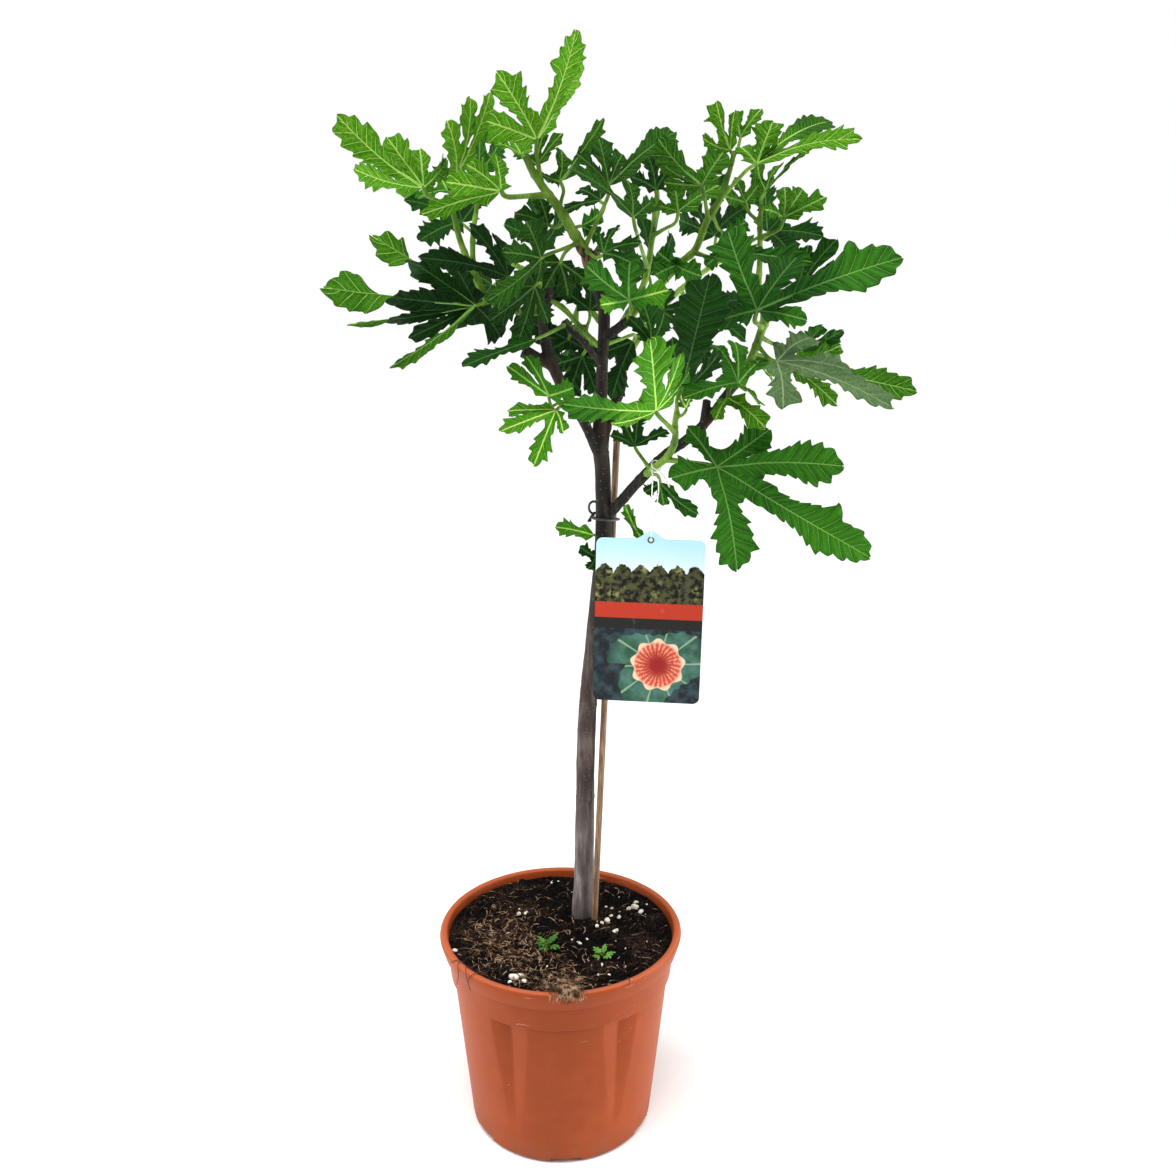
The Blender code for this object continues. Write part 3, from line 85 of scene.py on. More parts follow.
makeCamera()
print("camera set")


# Shader maths written as Python: a Wire stands for one socket of a material's nodes
def maths(operation, swapped=False):  # an operator or a method that adds one Math node
    def apply(wire, *others):
        values = (*others, wire) if swapped else (wire, *others)
        return wire.finish.add("ShaderNodeMath", {"operation": operation}, dict(enumerate(values)))

    return apply


class Wire:
    def __init__(self, finish, socket):
        self.finish = finish
        self.socket = socket

    __add__, __radd__ = maths("ADD"), maths("ADD", True)
    __sub__, __rsub__ = maths("SUBTRACT"), maths("SUBTRACT", True)
    __mul__, __rmul__ = maths("MULTIPLY"), maths("MULTIPLY", True)
    __truediv__, __rtruediv__ = maths("DIVIDE"), maths("DIVIDE", True)
    __pow__, __rpow__ = maths("POWER"), maths("POWER", True)
    __abs__ = maths("ABSOLUTE")
    fract = maths("FRACT")
    sine = maths("SINE")
    angleOver = maths("ARCTAN2")
    atLeast = maths("MAXIMUM")
    atMost = maths("MINIMUM")

    def rise(self, low, high):  # 0 below low, 1 above high, smooth between them
        sockets = {"Value": self, "From Min": low, "From Max": high}
        return self.finish.add("ShaderNodeMapRange", {"interpolation_type": "SMOOTHSTEP"}, sockets)


class Finish:
    def __init__(self, name, **constants):  # constants are set on the shader's own sockets
        self.material = bpy.data.materials.new(name)
        self.material.use_nodes = True
        self.tree = self.material.node_tree
        self.shader = self.tree.nodes["Principled BSDF"]
        for key, value in constants.items():
            self.shader.inputs[key.replace("_", " ")].default_value = value

    def add(self, kind, settings=None, sockets=None, out=0):  # a node: settings first, then values or links
        node = self.tree.nodes.new(kind)
        for key, value in (settings or {}).items():
            if key == "stops":
                ramp = node.color_ramp
                while len(ramp.elements) < len(value):
                    ramp.elements.new(0.5)
                for element, (place, color) in zip(ramp.elements, value):
                    element.position = place
                    element.color = (*color, 1.0)
            else:
                setattr(node, key, value)
        for key, value in (sockets or {}).items():
            socket = node.inputs[key]
            if isinstance(value, Wire):
                self.tree.links.new(value.socket, socket)
            elif isinstance(value, tuple) and len(value) == 3 and len(socket.default_value) == 4:
                socket.default_value = (*value, 1.0)
            else:
                socket.default_value = value
        return Wire(self, node.outputs[out])

    # object coordinates, turned and scaled
    def place(self, scale=(1, 1, 1), turn=(0, 0, 0), move=(0, 0, 0)):
        coordinates = self.add("ShaderNodeTexCoord", out="Object")
        sockets = {"Vector": coordinates, "Scale": scale, "Rotation": turn, "Location": move}
        return self.add("ShaderNodeMapping", {}, sockets)

    def xyz(self, vector):
        parts = self.add("ShaderNodeSeparateXYZ", {}, {"Vector": vector})
        return [Wire(self, parts.socket.node.outputs[index]) for index in range(3)]

    def uv(self, name):  # one of the piece's UV maps, and its two numbers
        spot = self.add("ShaderNodeUVMap", {"uv_map": name})
        return (spot, *self.xyz(spot)[:2])

    def noise(self, vector, scale, detail=4.0, rough=0.5, twist=0.0):
        sockets = {
            "Vector": vector, "Scale": scale, "Detail": detail, "Roughness": rough, "Distortion": twist,
        }
        return self.add("ShaderNodeTexNoise", {}, sockets)

    def cells(self, vector, scale, feature="F1"):
        return self.add(
            "ShaderNodeTexVoronoi", {"feature": feature}, {"Vector": vector, "Scale": scale}, "Distance",
        )

    def mix(self, factor, one, other):  # sockets 0, 6 and 7 are the factor and the two colours
        return self.add("ShaderNodeMix", {"data_type": "RGBA"}, {0: factor, 6: one, 7: other}, 2)

    def ramp(self, factor, stops):
        return self.add("ShaderNodeValToRGB", {"stops": stops}, {"Fac": factor})

    def paint(self, color, roughness, height=None, depth=0.001, strength=1.0):
        self.tree.links.new(color.socket, self.shader.inputs["Base Color"])
        self.tree.links.new(roughness.socket, self.shader.inputs["Roughness"])
        if height is not None:
            bump = self.add(
                "ShaderNodeBump", {}, {"Height": height, "Distance": depth, "Strength": strength},
            )
            self.tree.links.new(bump.socket, self.shader.inputs["Normal"])
        return self.material


# Shapes
# even steps along a smooth curve through the points, with radii if given
def smooth(points, spacing, radii=None):
    values = [list(point) + [radius] for point, radius in zip(points, radii or [0.0] * len(points))]
    padded = [[2 * a - b for a, b in zip(values[0], values[1])]] + values
    padded.append([2 * a - b for a, b in zip(values[-1], values[-2])])
    fine = []
    for index in range(len(values) - 1):
        a, b, c, d = padded[index:index + 4]
        for step in range(24):
            t = step / 24
            fine.append([
                0.5 * (
                    2 * q + (r - p) * t + (
                        2 * p - 5 * q + 4 * r - s
                    ) * t * t + (3 * q - p - 3 * r + s) * t ** 3
                )
                for p, q, r, s in zip(a, b, c, d)
            ])
    fine.append(values[-1])
    even = [fine[0]]
    run = 0.0
    for before, value in zip(fine, fine[1:]):
        run += (Vector(value[:3]) - Vector(before[:3])).length
        if run >= spacing:
            even.append(value)
            run = 0.0
    if (Vector(even[-1][:3]) - Vector(values[-1][:3])).length < spacing * 0.5 and len(even) > 1:
        even.pop()
    even.append(values[-1])
    spots = [Vector(value[:3]) for value in even]
    return (spots, [value[3] for value in even]) if radii else spots


def roundCurve(name, lines, thickness, sides):  # a curve object of round tubes along (points, radii) lines
    curve = bpy.data.curves.new(name, "CURVE")
    curve.dimensions = "3D"
    curve.bevel_depth = thickness
    curve.bevel_resolution = max(0, (sides - 4) // 2)
    curve.use_fill_caps = True
    for points, radii in lines:
        line = curve.splines.new("POLY")
        line.points.add(len(points) - 1)
        for spot, point, radius in zip(line.points, points, radii):
            spot.co = (*point, 1.0)
            spot.radius = radius
    holder = bpy.data.objects.new(name, curve)
    bpy.context.scene.collection.objects.link(holder)
    return holder


def tubes(lines, sides):  # the same as one mesh
    holder = roundCurve("tubes", lines, 1.0, sides)
    mesh = bpy.data.meshes.new_from_object(holder.evaluated_get(bpy.context.evaluated_depsgraph_get()))
    curve = holder.data
    bpy.data.objects.remove(holder)
    bpy.data.curves.remove(curve)
    return mesh


def addObject(name, source, materials):  # an object at the origin from a mesh or a bmesh, smooth shaded
    if isinstance(source, bmesh.types.BMesh):
        mesh = bpy.data.meshes.new(name)
        source.to_mesh(mesh)
        source.free()
    else:
        mesh = source
    mesh.name = name
    piece = bpy.data.objects.new(name, mesh)
    bpy.context.scene.collection.objects.link(piece)
    for material in materials:
        mesh.materials.append(material)
    mesh.shade_smooth()
    return piece


def applyModifiers(piece):
    held = piece.evaluated_get(bpy.context.evaluated_depsgraph_get())
    mesh = bpy.data.meshes.new_from_object(held)
    piece.modifiers.clear()
    old = piece.data
    piece.data = mesh
    mesh.name = piece.name
    bpy.data.meshes.remove(old)


def keep(piece, slot, *nodes):  # rides on the only body and stands for its solids
    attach(piece, "root")
    if nodes:
        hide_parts(*nodes)
    return piece


# Stems, in places of the front view: across, down, millimetres behind the pot's axis,
# and last the radius in millimetres
def stem(*places):
    return [at(*place[:3]) for place in places], [place[3] / 1000 for place in places]


def onStem(line, across, down):  # the point of a stem that shows nearest to a place in the front view
    wanted = Vector((across, down))
    points = line[0]
    steps = [start.lerp(end, step / 20) for start, end in zip(points, points[1:]) for step in range(21)]
    return min(steps, key=lambda point: (seen(point) - wanted).length)


wood = {
    "foot": (583, 922, 23.9), "rootedTo": 0.055, "voxel": 0.00085, "step": 0.003, "smoothing": 3,
    "rings": ((583, 797, 0.0086), (583, 704, 0.008), (600, 452, 0.0068)),  # place, and radius in metres
    "ringHeight": 0.0035, "ringDrop": 0.0022, "scarEvery": 0.021, "scarRise": 0.00055, "scarLength": 0.0016,
    "skin": 0.0002, "ripple": 0.00026, "knobs": 0.00022, "rippleScale": (260, 260, 42), "knobScale": 95,
    # heights at which a bark gives way to the next: grey foot, brown middle, dark top
    "footEnd": (0.225, 0.315), "lowEnd": (0.36, 0.56), "soilLine": (0.168, 0.192),
    "footBark": ((0.34, (0.062, 0.05, 0.048)), (0.5, (0.142, 0.12, 0.112)), (0.66, (0.38, 0.35, 0.34))),
    "lowBark": ((0.34, (0.023, 0.015, 0.013)), (0.5, (0.05, 0.034, 0.029)), (0.66, (0.14, 0.108, 0.096))),
    "highBark": (
        (0.3, (0.003, 0.0024, 0.0015)), (0.5, (0.0095, 0.0074, 0.0052)), (0.72, (0.042, 0.034, 0.025)),
    ),
    "rust": (0.036, 0.017, 0.01), "split": (0.19, 0.125, 0.062), "pore": (0.26, 0.22, 0.19),
    # a darker colour close to the soil
    "darkNearSoil": (0.05, 0.034, 0.026),
}
trunkFoot = at(*wood["foot"])
trunkAbove = stem(
    (584, 880, 24.3, 8.8), (585, 800, 24.3, 8), (587, 720, 23.2, 7.6), (594, 640, 21, 7),
    (598, 600, 18.6, 6.8), (603, 550, 17.5, 6.6), (603, 480, 16, 6.2), (600, 440, 15, 6),
    (601, 400, 16, 4.8), (603, 350, 18, 4.4), (604, 312, 20, 4.4), (597, 288, 20, 4.2),
    (590, 262, 19, 5.8), (586, 250, 18, 4.5),
)
trunk = (
    [
        Vector((trunkFoot.x, trunkFoot.y, wood["rootedTo"])), trunkFoot + Vector((0, 0, 0.004)),
        *trunkAbove[0],
    ],
    [0.0098, 0.01, *trunkAbove[1]],
)
leftBranch = stem(
    (601, 462, 15, 3.6), (586, 426, 8, 3.8), (566, 393, -3, 4.2), (549, 355, -11, 4.4),
    (543, 325, -15, 3.4), (546, 304, -16, 3.1), (551, 289, -16, 2.6),
)
rightBranch = stem(
    (607, 517, 17, 4), (640, 480, 2, 4), (665, 455, -6, 3.8),
    (685, 441, -10, 3.7), (707, 421, -14, 3.6), (728, 393, -18, 3.4), (737, 383, -19, 3.6),
)
deadStub = stem((556, 368, -6, 3.6), (535, 357, -13.6, 4.5), (523, 351, -16, 5.2))
crossTwig = stem((600, 362, 18, 2.6), (583, 342, 8, 2.4), (562, 323, 0, 2))
spurTwig = stem((604, 338, 18, 3.4), (617, 329, 8, 3.6), (629, 320, 2, 3.4))
topKnobs = (
    stem((590, 263, 19, 3.4), (596, 254, 14, 3), (600, 245, 11, 1.5)),
    stem((588, 257, 18, 3.2), (580, 250, 13, 2.6), (576, 242, 11, 1.2)),
    stem((591, 268, 16, 3), (594, 262, 10, 2.4), (594, 256, 8, 1.2)),
)
kneeStub = stem((703, 425, -13, 3), (707, 400, -15, 3.2))
backBranch = stem(
    (601, 475, 17, 4.4), (606, 428, 46, 4.2), (622, 380, 72, 4), (612, 330, 96, 3.4),
)
lowerStem = stem(
    (645, 475, 0.5, 3.4), (655, 467, -14, 3), (668, 456, -25, 3),
    (675, 440, -40, 2.8), (675, 424, -50, 2.4), (677, 412, -55, 2.4),
)


# The thread first, as it is the one free cord:
# its tail, a turn round the green shoot, down, through the hole, up again
cordDetail = {
    "diameter": 0.001, "spacing": 0.0013, "knot": (656, 466), "hole": (651, 540, 6.0),
    "turnSteps": 11, "turnStart": 20, "turnReach": 0.0044, "turnFrom": 0.0014, "turnPitch": 0.00034,
    # share of the way from the knot to the hole, then metres across, back and up from there
    "tail": ((0, 0.01, -0.0062, -0.0155), (0, 0.0075, -0.0068, -0.01), (0, 0.0035, -0.0072, -0.0045)),
    "hanging": (
        (0, -0.003, -0.0062, -0.007), (0.35, -0.0022, -0.0052, 0), (0.7, -0.001, -0.0042, 0),
        (1, 0, -0.0026, 0.003), (1, 0, -0.0022, 0.0004), (1, 0, 0, -0.0012), (1, 0, 0.0022, 0.0004),
        (1, 0.0006, 0.0024, 0.0034), (0.7, 0.0018, 0.001, 0), (0.35, 0.003, -0.0022, 0),
        (0, 0.0012, -0.0075, -0.009),
    ),
    "white": ((0.0, (0.52, 0.53, 0.5)), (0.55, (0.84, 0.85, 0.83)), (1.0, (0.93, 0.94, 0.92))),
}
labelHole = at(*cordDetail["hole"])


def threadRoute():
    knot = onStem(lowerStem, *cordDetail["knot"])

    def between(rows):
        return [knot.lerp(labelHole, share) + Vector(aside) for share, *aside in rows]

    route = between(cordDetail["tail"])
    along = (lowerStem[0][1] - lowerStem[0][0]).normalized()
    front = Vector((0, -1, 0)) - along * -along.y
    front.normalize()
    over = along.cross(front)
    for step in range(cordDetail["turnSteps"]):
        angle = math.radians(cordDetail["turnStart"] + 36 * step)
        turn = front * math.cos(angle) - over * math.sin(angle)
        shift = along * (cordDetail["turnFrom"] - cordDetail["turnPitch"] * step)
        route.append(knot + turn * cordDetail["turnReach"] + shift)
    return smooth(route + between(cordDetail["hanging"]), cordDetail["spacing"])


def threadFinish():
    finish = Finish("threadFinish")
    spot = finish.place()
    sockets = {"Vector": spot, "Scale": 620.0, "Distortion": 1.5}
    strands = finish.add("ShaderNodeTexWave", {"bands_direction": "DIAGONAL"}, sockets)
    fluff = finish.noise(spot, 2400.0)
    color = finish.ramp(strands * 0.7 + fluff * 0.3, cordDetail["white"])
    return finish.paint(color, fluff * 0.25 + 0.68, strands, 0.0003, 0.8)


def makeThread():
    route = threadRoute()
    string = roundCurve("hanging_string", [(route, [1.0] * len(route))], cordDetail["diameter"] / 2, 8)
    string.data.materials.append(threadFinish())
    keep(string, "thread", "label_string")


makeThread()
print("string made")


# Pot: a turned wall with flutes pushed in from the collar down
potPlan = {  # lengths in metres
    "height": 0.18, "rim": 0.105, "rimInner": 0.0983, "band": 0.0165, "base": 0.0794, "slope": 0.103,
    "collarBottom": 0.1395, "collarStep": 0.0024, "wall": 0.002, "floor": 0.0066, "corner": 0.0011,
    "flutes": 6, "fluteTurn": math.radians(3.8), "fluteHalf": math.radians(10.5), "fluteDepth": 0.0055,
    "fluteBottom": 0.028, "notch": (0.026, 0.02, 0.0094), "notchBevel": 0.0012, "warp": 0.0003,
    "steps": 432, "rows": 46, "innerRows": 12, "sharp": 38,
    "clay": ((0.28, (0.246, 0.042, 0.008)), (0.5, (0.28, 0.05, 0.01)), (0.72, (0.328, 0.065, 0.016))),
    # the dark colour under the collar's step and the band's step is painted shade
    # the paler colour on the rim's top is a painted highlight
    "paintedRimTopHighlight": (0.56, 0.15, 0.07), "paintedStepShade": (0.12, 0.018, 0.005), "paintedStepShadeHeights": (0.1393, 0.163),
    "dust": (0.2, 0.105, 0.06), "scuff": (0.8, 0.55, 0.42), "scrape": (0.74, 0.42, 0.28),
    "speck": (0.035, 0.022, 0.015),
}


def wallRadius(height):
    return potPlan["base"] + potPlan["slope"] * height


def innerRadius(height):
    collar = potPlan["collarBottom"]
    if height > collar + 0.004:
        share = (height - collar - 0.004) / (potPlan["height"] - collar - 0.004)
        lower = wallRadius(collar) - potPlan["wall"] + 0.0012
        return lower + (potPlan["rimInner"] - lower) * share
    return wallRadius(height) - potPlan["wall"]


def fluteDepth(angle, height):  # how far the wall is pushed in: a groove that narrows and fades downwards
    if height > potPlan["collarBottom"] + 0.0001:
        return 0.0
    rise = max(0.0, height - potPlan["fluteBottom"]) / (potPlan["collarBottom"] - potPlan["fluteBottom"])
    strength = min(1.0, rise * 1.15)
    pitch = 2 * math.pi / potPlan["flutes"]
    off = (angle + math.pi / 2 - potPlan["fluteTurn"]) % pitch - pitch / 2
    half = potPlan["fluteHalf"] * (0.35 + 0.65 * strength)
    return potPlan["fluteDepth"] * strength * max(0.0, 1 - abs(off) / half)


def rounded(profile, radius, steps=3):  # a profile's corners cut into short arcs
    points = [Vector(profile[0])]
    for before, corner, after in zip(profile, profile[1:], profile[2:]):
        before, corner, after = Vector(before), Vector(corner), Vector(after)
        reach = min(radius, (before - corner).length * 0.45, (after - corner).length * 0.45)
        start = corner + (before - corner).normalized() * reach
        end = corner + (after - corner).normalized() * reach
        for step in range(steps + 1):
            share = step / steps
            points.append(start.lerp(corner, share).lerp(corner.lerp(end, share), share))
    points.append(Vector(profile[-1]))
    return points


# a closed shell turned from (radius, height) points that start and end on the axis
def spun(profile, steps):
    shell = bmesh.new()
    verts = [shell.verts.new((point[0], 0, point[1])) for point in profile]
    edges = [shell.edges.new(pair) for pair in zip(verts, verts[1:])]
    bmesh.ops.spin(
        shell, geom=verts + edges, cent=(0, 0, 0), axis=(0, 0, 1), angle=2 * math.pi, steps=steps,
        use_merge=True
    )
    bmesh.ops.remove_doubles(shell, verts=shell.verts, dist=0.000002)
    bmesh.ops.dissolve_degenerate(shell, edges=shell.edges, dist=0.000001)
    bmesh.ops.recalc_face_normals(shell, faces=shell.faces)
    return shell


def potFinish():
    finish = Finish("potFinish", Specular_IOR_Level=0.12)
    spot = finish.place()
    height = finish.xyz(spot)[2]
    cloud = finish.noise(spot, 9.0, 3.0)
    mottle = finish.noise(spot, 70.0, 5.0, 0.6)
    grain = finish.noise(spot, 900.0, 2.0)
    streaks = finish.noise(finish.place((60, 60, 7)), 2.0, 4.0)
    scratches = finish.noise(finish.place((30, 30, 420), (0.4, 0.3, 0.9)), 1.0, 2.0)
    nicks = finish.cells(finish.place((1, 1, 2.6), (0.2, 0.5, 0.3)), 88.0)
    specks = finish.cells(finish.place(move=(0.03, 0.05, 0.01)), 120.0)
    patches = finish.noise(finish.place(move=(0.4, 0.1, 0.7)), 22.0, 2.0)
    color = finish.ramp(cloud * 0.6 + mottle * 0.4, potPlan["clay"])
    # painted highlight: the rim's top is made paler, as where light falls on it
    color = finish.mix(height.rise(0.1782, 0.1798) * 0.55, color, potPlan["paintedRimTopHighlight"])
    # painted shade: darker lines just under the collar's step and the band's step
    underCollar, underBand = [
        1 - (abs(height - level) / 0.001).rise(0.2, 1.0)
        for level in potPlan["paintedStepShadeHeights"]
    ]
    color = finish.mix(underCollar.atLeast(underBand) * 0.45, color, potPlan["paintedStepShade"])
    dusty = (1 - height.rise(0.0, 0.03)) * streaks.rise(0.35, 0.75)
    color = finish.mix(dusty * 0.55, color, potPlan["dust"])
    scuffed = (1 - nicks.rise(0.03, 0.085)) * patches.rise(0.53, 0.62)
    color = finish.mix(scuffed * 0.75, color, potPlan["scuff"])
    scraped = scratches.rise(0.7, 0.76) * patches.rise(0.5, 0.6)
    color = finish.mix(scraped * 0.4, color, potPlan["scrape"])
    spotted = (1 - specks.rise(0.036, 0.075)) * finish.noise(spot, 31.0, 1.0).rise(0.52, 0.57)
    color = finish.mix(spotted * 0.85, color, potPlan["speck"])
    roughness = 0.38 + mottle * 0.14 + dusty * 0.28 + scuffed * 0.2
    relief = grain * 0.25 + streaks * 0.3 + mottle * 0.4 - scraped * 0.6 - scuffed * 0.4
    return finish.paint(color, roughness, relief, 0.0004, 0.35)


def cutNotches(pot):  # drain notches in the foot, one below each flute
    cutters = bmesh.new()
    for flute in range(potPlan["flutes"]):
        angle = -math.pi / 2 + potPlan["fluteTurn"] + 2 * math.pi * flute / potPlan["flutes"]
        middle = potPlan["base"] - 0.0035
        place = Matrix.Translation((middle * math.cos(angle), middle * math.sin(angle), 0.0))
        turn = Matrix.Rotation(angle + math.pi / 2, 4, "Z")
        size = Matrix.Diagonal((*potPlan["notch"], 1.0))
        bmesh.ops.create_cube(cutters, size=1.0, matrix=place @ turn @ size)
    bmesh.ops.bevel(
        cutters, geom=cutters.edges[:], offset=potPlan["notchBevel"], segments=2, profile=0.5,
        affect="EDGES", material=-1
    )
    cutter = addObject("notchCutter", cutters, [])
    modifier = pot.modifiers.new("notches", "BOOLEAN")
    modifier.operation = "DIFFERENCE"
    modifier.solver = "MANIFOLD"
    modifier.object = cutter
    applyModifiers(pot)
    bpy.data.objects.remove(cutter)


def makePot():
    collar, band = potPlan["collarBottom"], potPlan["height"] - potPlan["band"]
    top, rim = potPlan["height"], potPlan["rim"]
    collarTop = wallRadius(collar) + potPlan["collarStep"] + 0.0022
    foot = [(0.0, 0.0), (potPlan["base"] - 0.002, 0.0), (potPlan["base"], 0.002)]
    heights = [0.002 + (collar - 0.002) * row / potPlan["rows"] for row in range(1, potPlan["rows"])]
    wall = [(wallRadius(height), height) for height in heights]
    upper = rounded(
        [
            (wallRadius(collar), collar - 0.0002),
            (wallRadius(collar) + potPlan["collarStep"], collar + 0.0014), (collarTop, band - 0.0008),
            (collarTop + 0.0028, band), (rim, top - 0.003), (rim - 0.0016, top - 0.0004),
            (rim - 0.0034, top), (potPlan["rimInner"], top - 0.0012),
            (innerRadius(top - 0.008), top - 0.008), (innerRadius(collar + 0.004), collar + 0.004),
            (innerRadius(collar - 0.001), collar - 0.001),
        ],
        potPlan["corner"],
    )
    rows = potPlan["innerRows"]
    heights = [collar - 0.002 - (collar - 0.006) * row / rows for row in range(1, rows)]
    inner = [(innerRadius(height), height) for height in (*heights, potPlan["floor"])]
    inner.append((0.0, potPlan["floor"]))
    shell = spun(
        [Vector(spot) for spot in foot + wall] + upper + [Vector(spot) for spot in inner], potPlan["steps"],
    )
    for vertex in shell.verts:
        reach = math.hypot(vertex.co.x, vertex.co.y)
        if reach > 0.05:
            angle = math.atan2(vertex.co.y, vertex.co.x)
            depth = fluteDepth(angle, vertex.co.z)
            warp = potPlan["warp"] * math.sin(3 * angle + 1.0) * min(1.0, vertex.co.z / 0.05)
            vertex.co.xy *= (reach - depth + warp) / reach
    pot = addObject("terracotta_pot", shell, [potFinish()])
    cutNotches(pot)
    pot.data.shade_smooth()
    pot.data.set_sharp_from_angle(angle=math.radians(potPlan["sharp"]))
    keep(pot, "terracotta_plastic", "pot")


makePot()
print("pot made")


# Soil: a turned body with a lumpy top, crumbs, fibres and white grains
soilPlan = {
    "level": 0.167, "lift": 0.0062, "gap": 0.0003, "steps": 240, "rings": 80, "seed": 11,
    "crumbs": 4300, "crumbSize": (0.0005, 0.0023), "crumbReach": 0.0945,
    "grains": 46, "grainSize": (0.0005, 0.0012), "grainReach": 0.09,
    "fibres": 950, "fibreReach": 0.092, "fibreEnd": 0.0945, "fibreSteps": 6,
    "fibreLength": (0.004, 0.017), "fibreLift": (0.0004, 0.0026), "fibreThick": (0.00015, 0.00042),
    # middle and spread of the fibres' thickets, across and back, in turn; None is anywhere
    "thickets": (
        (-0.05, 0.022, -0.018, 0.03), (-0.05, 0.022, -0.018, 0.03), (0.0, 0.016, -0.078, 0.01),
        (-0.02, 0.022, -0.05, 0.018), None,
    ),
    # the tuft that lies over the rim at the front: reach and rise of its strands
    "strands": 190, "tuftAngle": -85, "strandThick": (0.00014, 0.00034),
    "overRim": (
        (0.08, 0.0015), (0.088, 0.0045), (0.096, 0.0082), (0.101, 0.0098), (0.105, 0.0088), (0.1075, 0.005),
        (0.1078, 0.0),
    ),
    # dark roots over the rim: where each starts, how it slips sideways, the height it ends at
    "roots": ((-151, 9, 0.175), (-139, -8, 0.15), (-135, 6, 0.161), (-132, -10, 0.166), (-60, 7, 0.174)),
    "rootThick": (0.00032, 0.00012),
    "rootPath": (
        (0.088, 0.1745), (0.095, 0.176), (0.0995, 0.1806), (0.1035, 0.1808), (0.1058, 0.1775),
        (0.1062, 0.172), (0.1058, 0.166), (0.1025, 0.16), (0.1, 0.154), (0.099, 0.148),
    ),
    "peat": ((0.42, (0.0012, 0.0008, 0.0008)), (0.56, (0.007, 0.004, 0.004)), (0.68, (0.13, 0.086, 0.064))),
    "rust": (0.17, 0.09, 0.05),
    "grain": ((0.32, (0.3, 0.23, 0.16)), (0.48, (0.74, 0.69, 0.58)), (0.7, (0.88, 0.86, 0.79))),
    "fibre": ((0.38, (0.01, 0.005, 0.003)), (0.5, (0.12, 0.06, 0.03)), (0.63, (0.47, 0.315, 0.2))),
    "root": ((0.3, (0.01, 0.006, 0.005)), (0.7, (0.04, 0.024, 0.018))),
    # single lumps: places in the front view and sizes
    "whitePlaces": (
        (519, 915, 3.4), (526, 913, 2.6), (552, 884, 2.2), (558, 883, 1.8), (635, 909, 4.2),
        (629, 912, 2.8), (641, 913, 3.0), (636, 903, 2.6), (607, 925, 3.6), (602, 928, 2.2),
        (615, 934, 3.2), (597, 931, 2.0), (612, 910, 2.6), (606, 908, 1.8), (619, 919, 2.4),
        (611, 917, 2.0), (587, 940, 2.0), (579, 945, 2.4), (455, 952, 2.6), (514, 981, 4.0),
        (520, 977, 3.0), (510, 984, 2.4), (524, 984, 3.2), (609, 976, 2.2), (602, 965, 2.0),
        (575, 893, 2.8), (626, 967, 1.6), (508, 933, 1.8),
    ),
    "brownPlaces": (
        (563, 929, 2.8), (570, 927, 2.0), (571, 896, 3.2), (487, 902, 3.0), (556, 941, 2.0),
        (533, 926, 1.8),
    ),
}


def soilRelief(x, y):
    swell = math.sin(41 * x + 0.7) * math.cos(53 * y - 0.4)
    clods = math.sin(117 * x - 2.1) * math.sin(131 * y + 0.9) + math.cos(163 * x + 89 * y)
    heap = math.exp(-((x - 0.02) ** 2 + (y - 0.02) ** 2) / 0.0009)
    fine = noise.fractal(Vector((x * 170, y * 170, 3.1)), 0.8, 2.1, 4)
    return 0.0013 * swell + 0.0009 * clods + 0.0022 * heap + 0.0009 * fine


def soilTop(x, y):  # the relief is calmer close to the pot's wall
    reach = math.hypot(x, y) / 0.0965
    calm = 1.0 if reach < 0.9 else max(0.2, 1 - 8 * (reach - 0.9))
    return soilPlan["level"] + soilPlan["lift"] + soilRelief(x, y) * calm


def onSoil(across, down):  # where a place in the front view falls on the soil
    eye = frontView["eye"]
    way = at(across, down, 0.0) - eye
    share = (soilPlan["level"] + soilPlan["lift"] - eye.z) / way.z
    return eye.x + way.x * share, eye.y + way.y * share


def soilFinish():
    finish = Finish("peatFinish", Specular_IOR_Level=0.1)
    spot = finish.place()
    clumps = finish.noise(spot, 60.0, 6.0, 0.65)
    fine = finish.noise(spot, 520.0, 6.0, 0.7)
    threads = finish.noise(spot, 260.0, 3.0, 0.6, 2.5)
    rust = finish.noise(finish.place(move=(0.2, 0.4, 0.0)), 24.0, 3.0)
    color = finish.ramp(fine * 0.6 + clumps * 0.4, soilPlan["peat"])
    color = finish.mix(rust.rise(0.48, 0.66) * threads.rise(0.5, 0.6) * 0.4, color, soilPlan["rust"])
    return finish.paint(color, fine * 0.1 + 0.88, fine + clumps + threads, 0.0016, 1.0)


def grainFinish():
    finish = Finish("whiteGrainFinish")
    dirt = finish.noise(finish.place(), 380.0, 4.0)
    return finish.paint(finish.ramp(dirt, soilPlan["grain"]), dirt * 0.2 + 0.7, dirt, 0.0006, 0.8)


def fibreFinish():
    finish = Finish("fibreFinish", Specular_IOR_Level=0.15)
    spot = finish.place()
    tone = finish.noise(spot, 160.0, 3.0, 0.7)
    fine = finish.noise(spot, 1500.0, 2.0)
    return finish.paint(finish.ramp(tone, soilPlan["fibre"]), fine * 0.15 + 0.75, fine, 0.0002, 0.6)


def rootFinish():
    finish = Finish("rootFinish")
    tone = finish.noise(finish.place(), 300.0)
    return finish.paint(finish.ramp(tone, soilPlan["root"]), tone * 0.2 + 0.7)


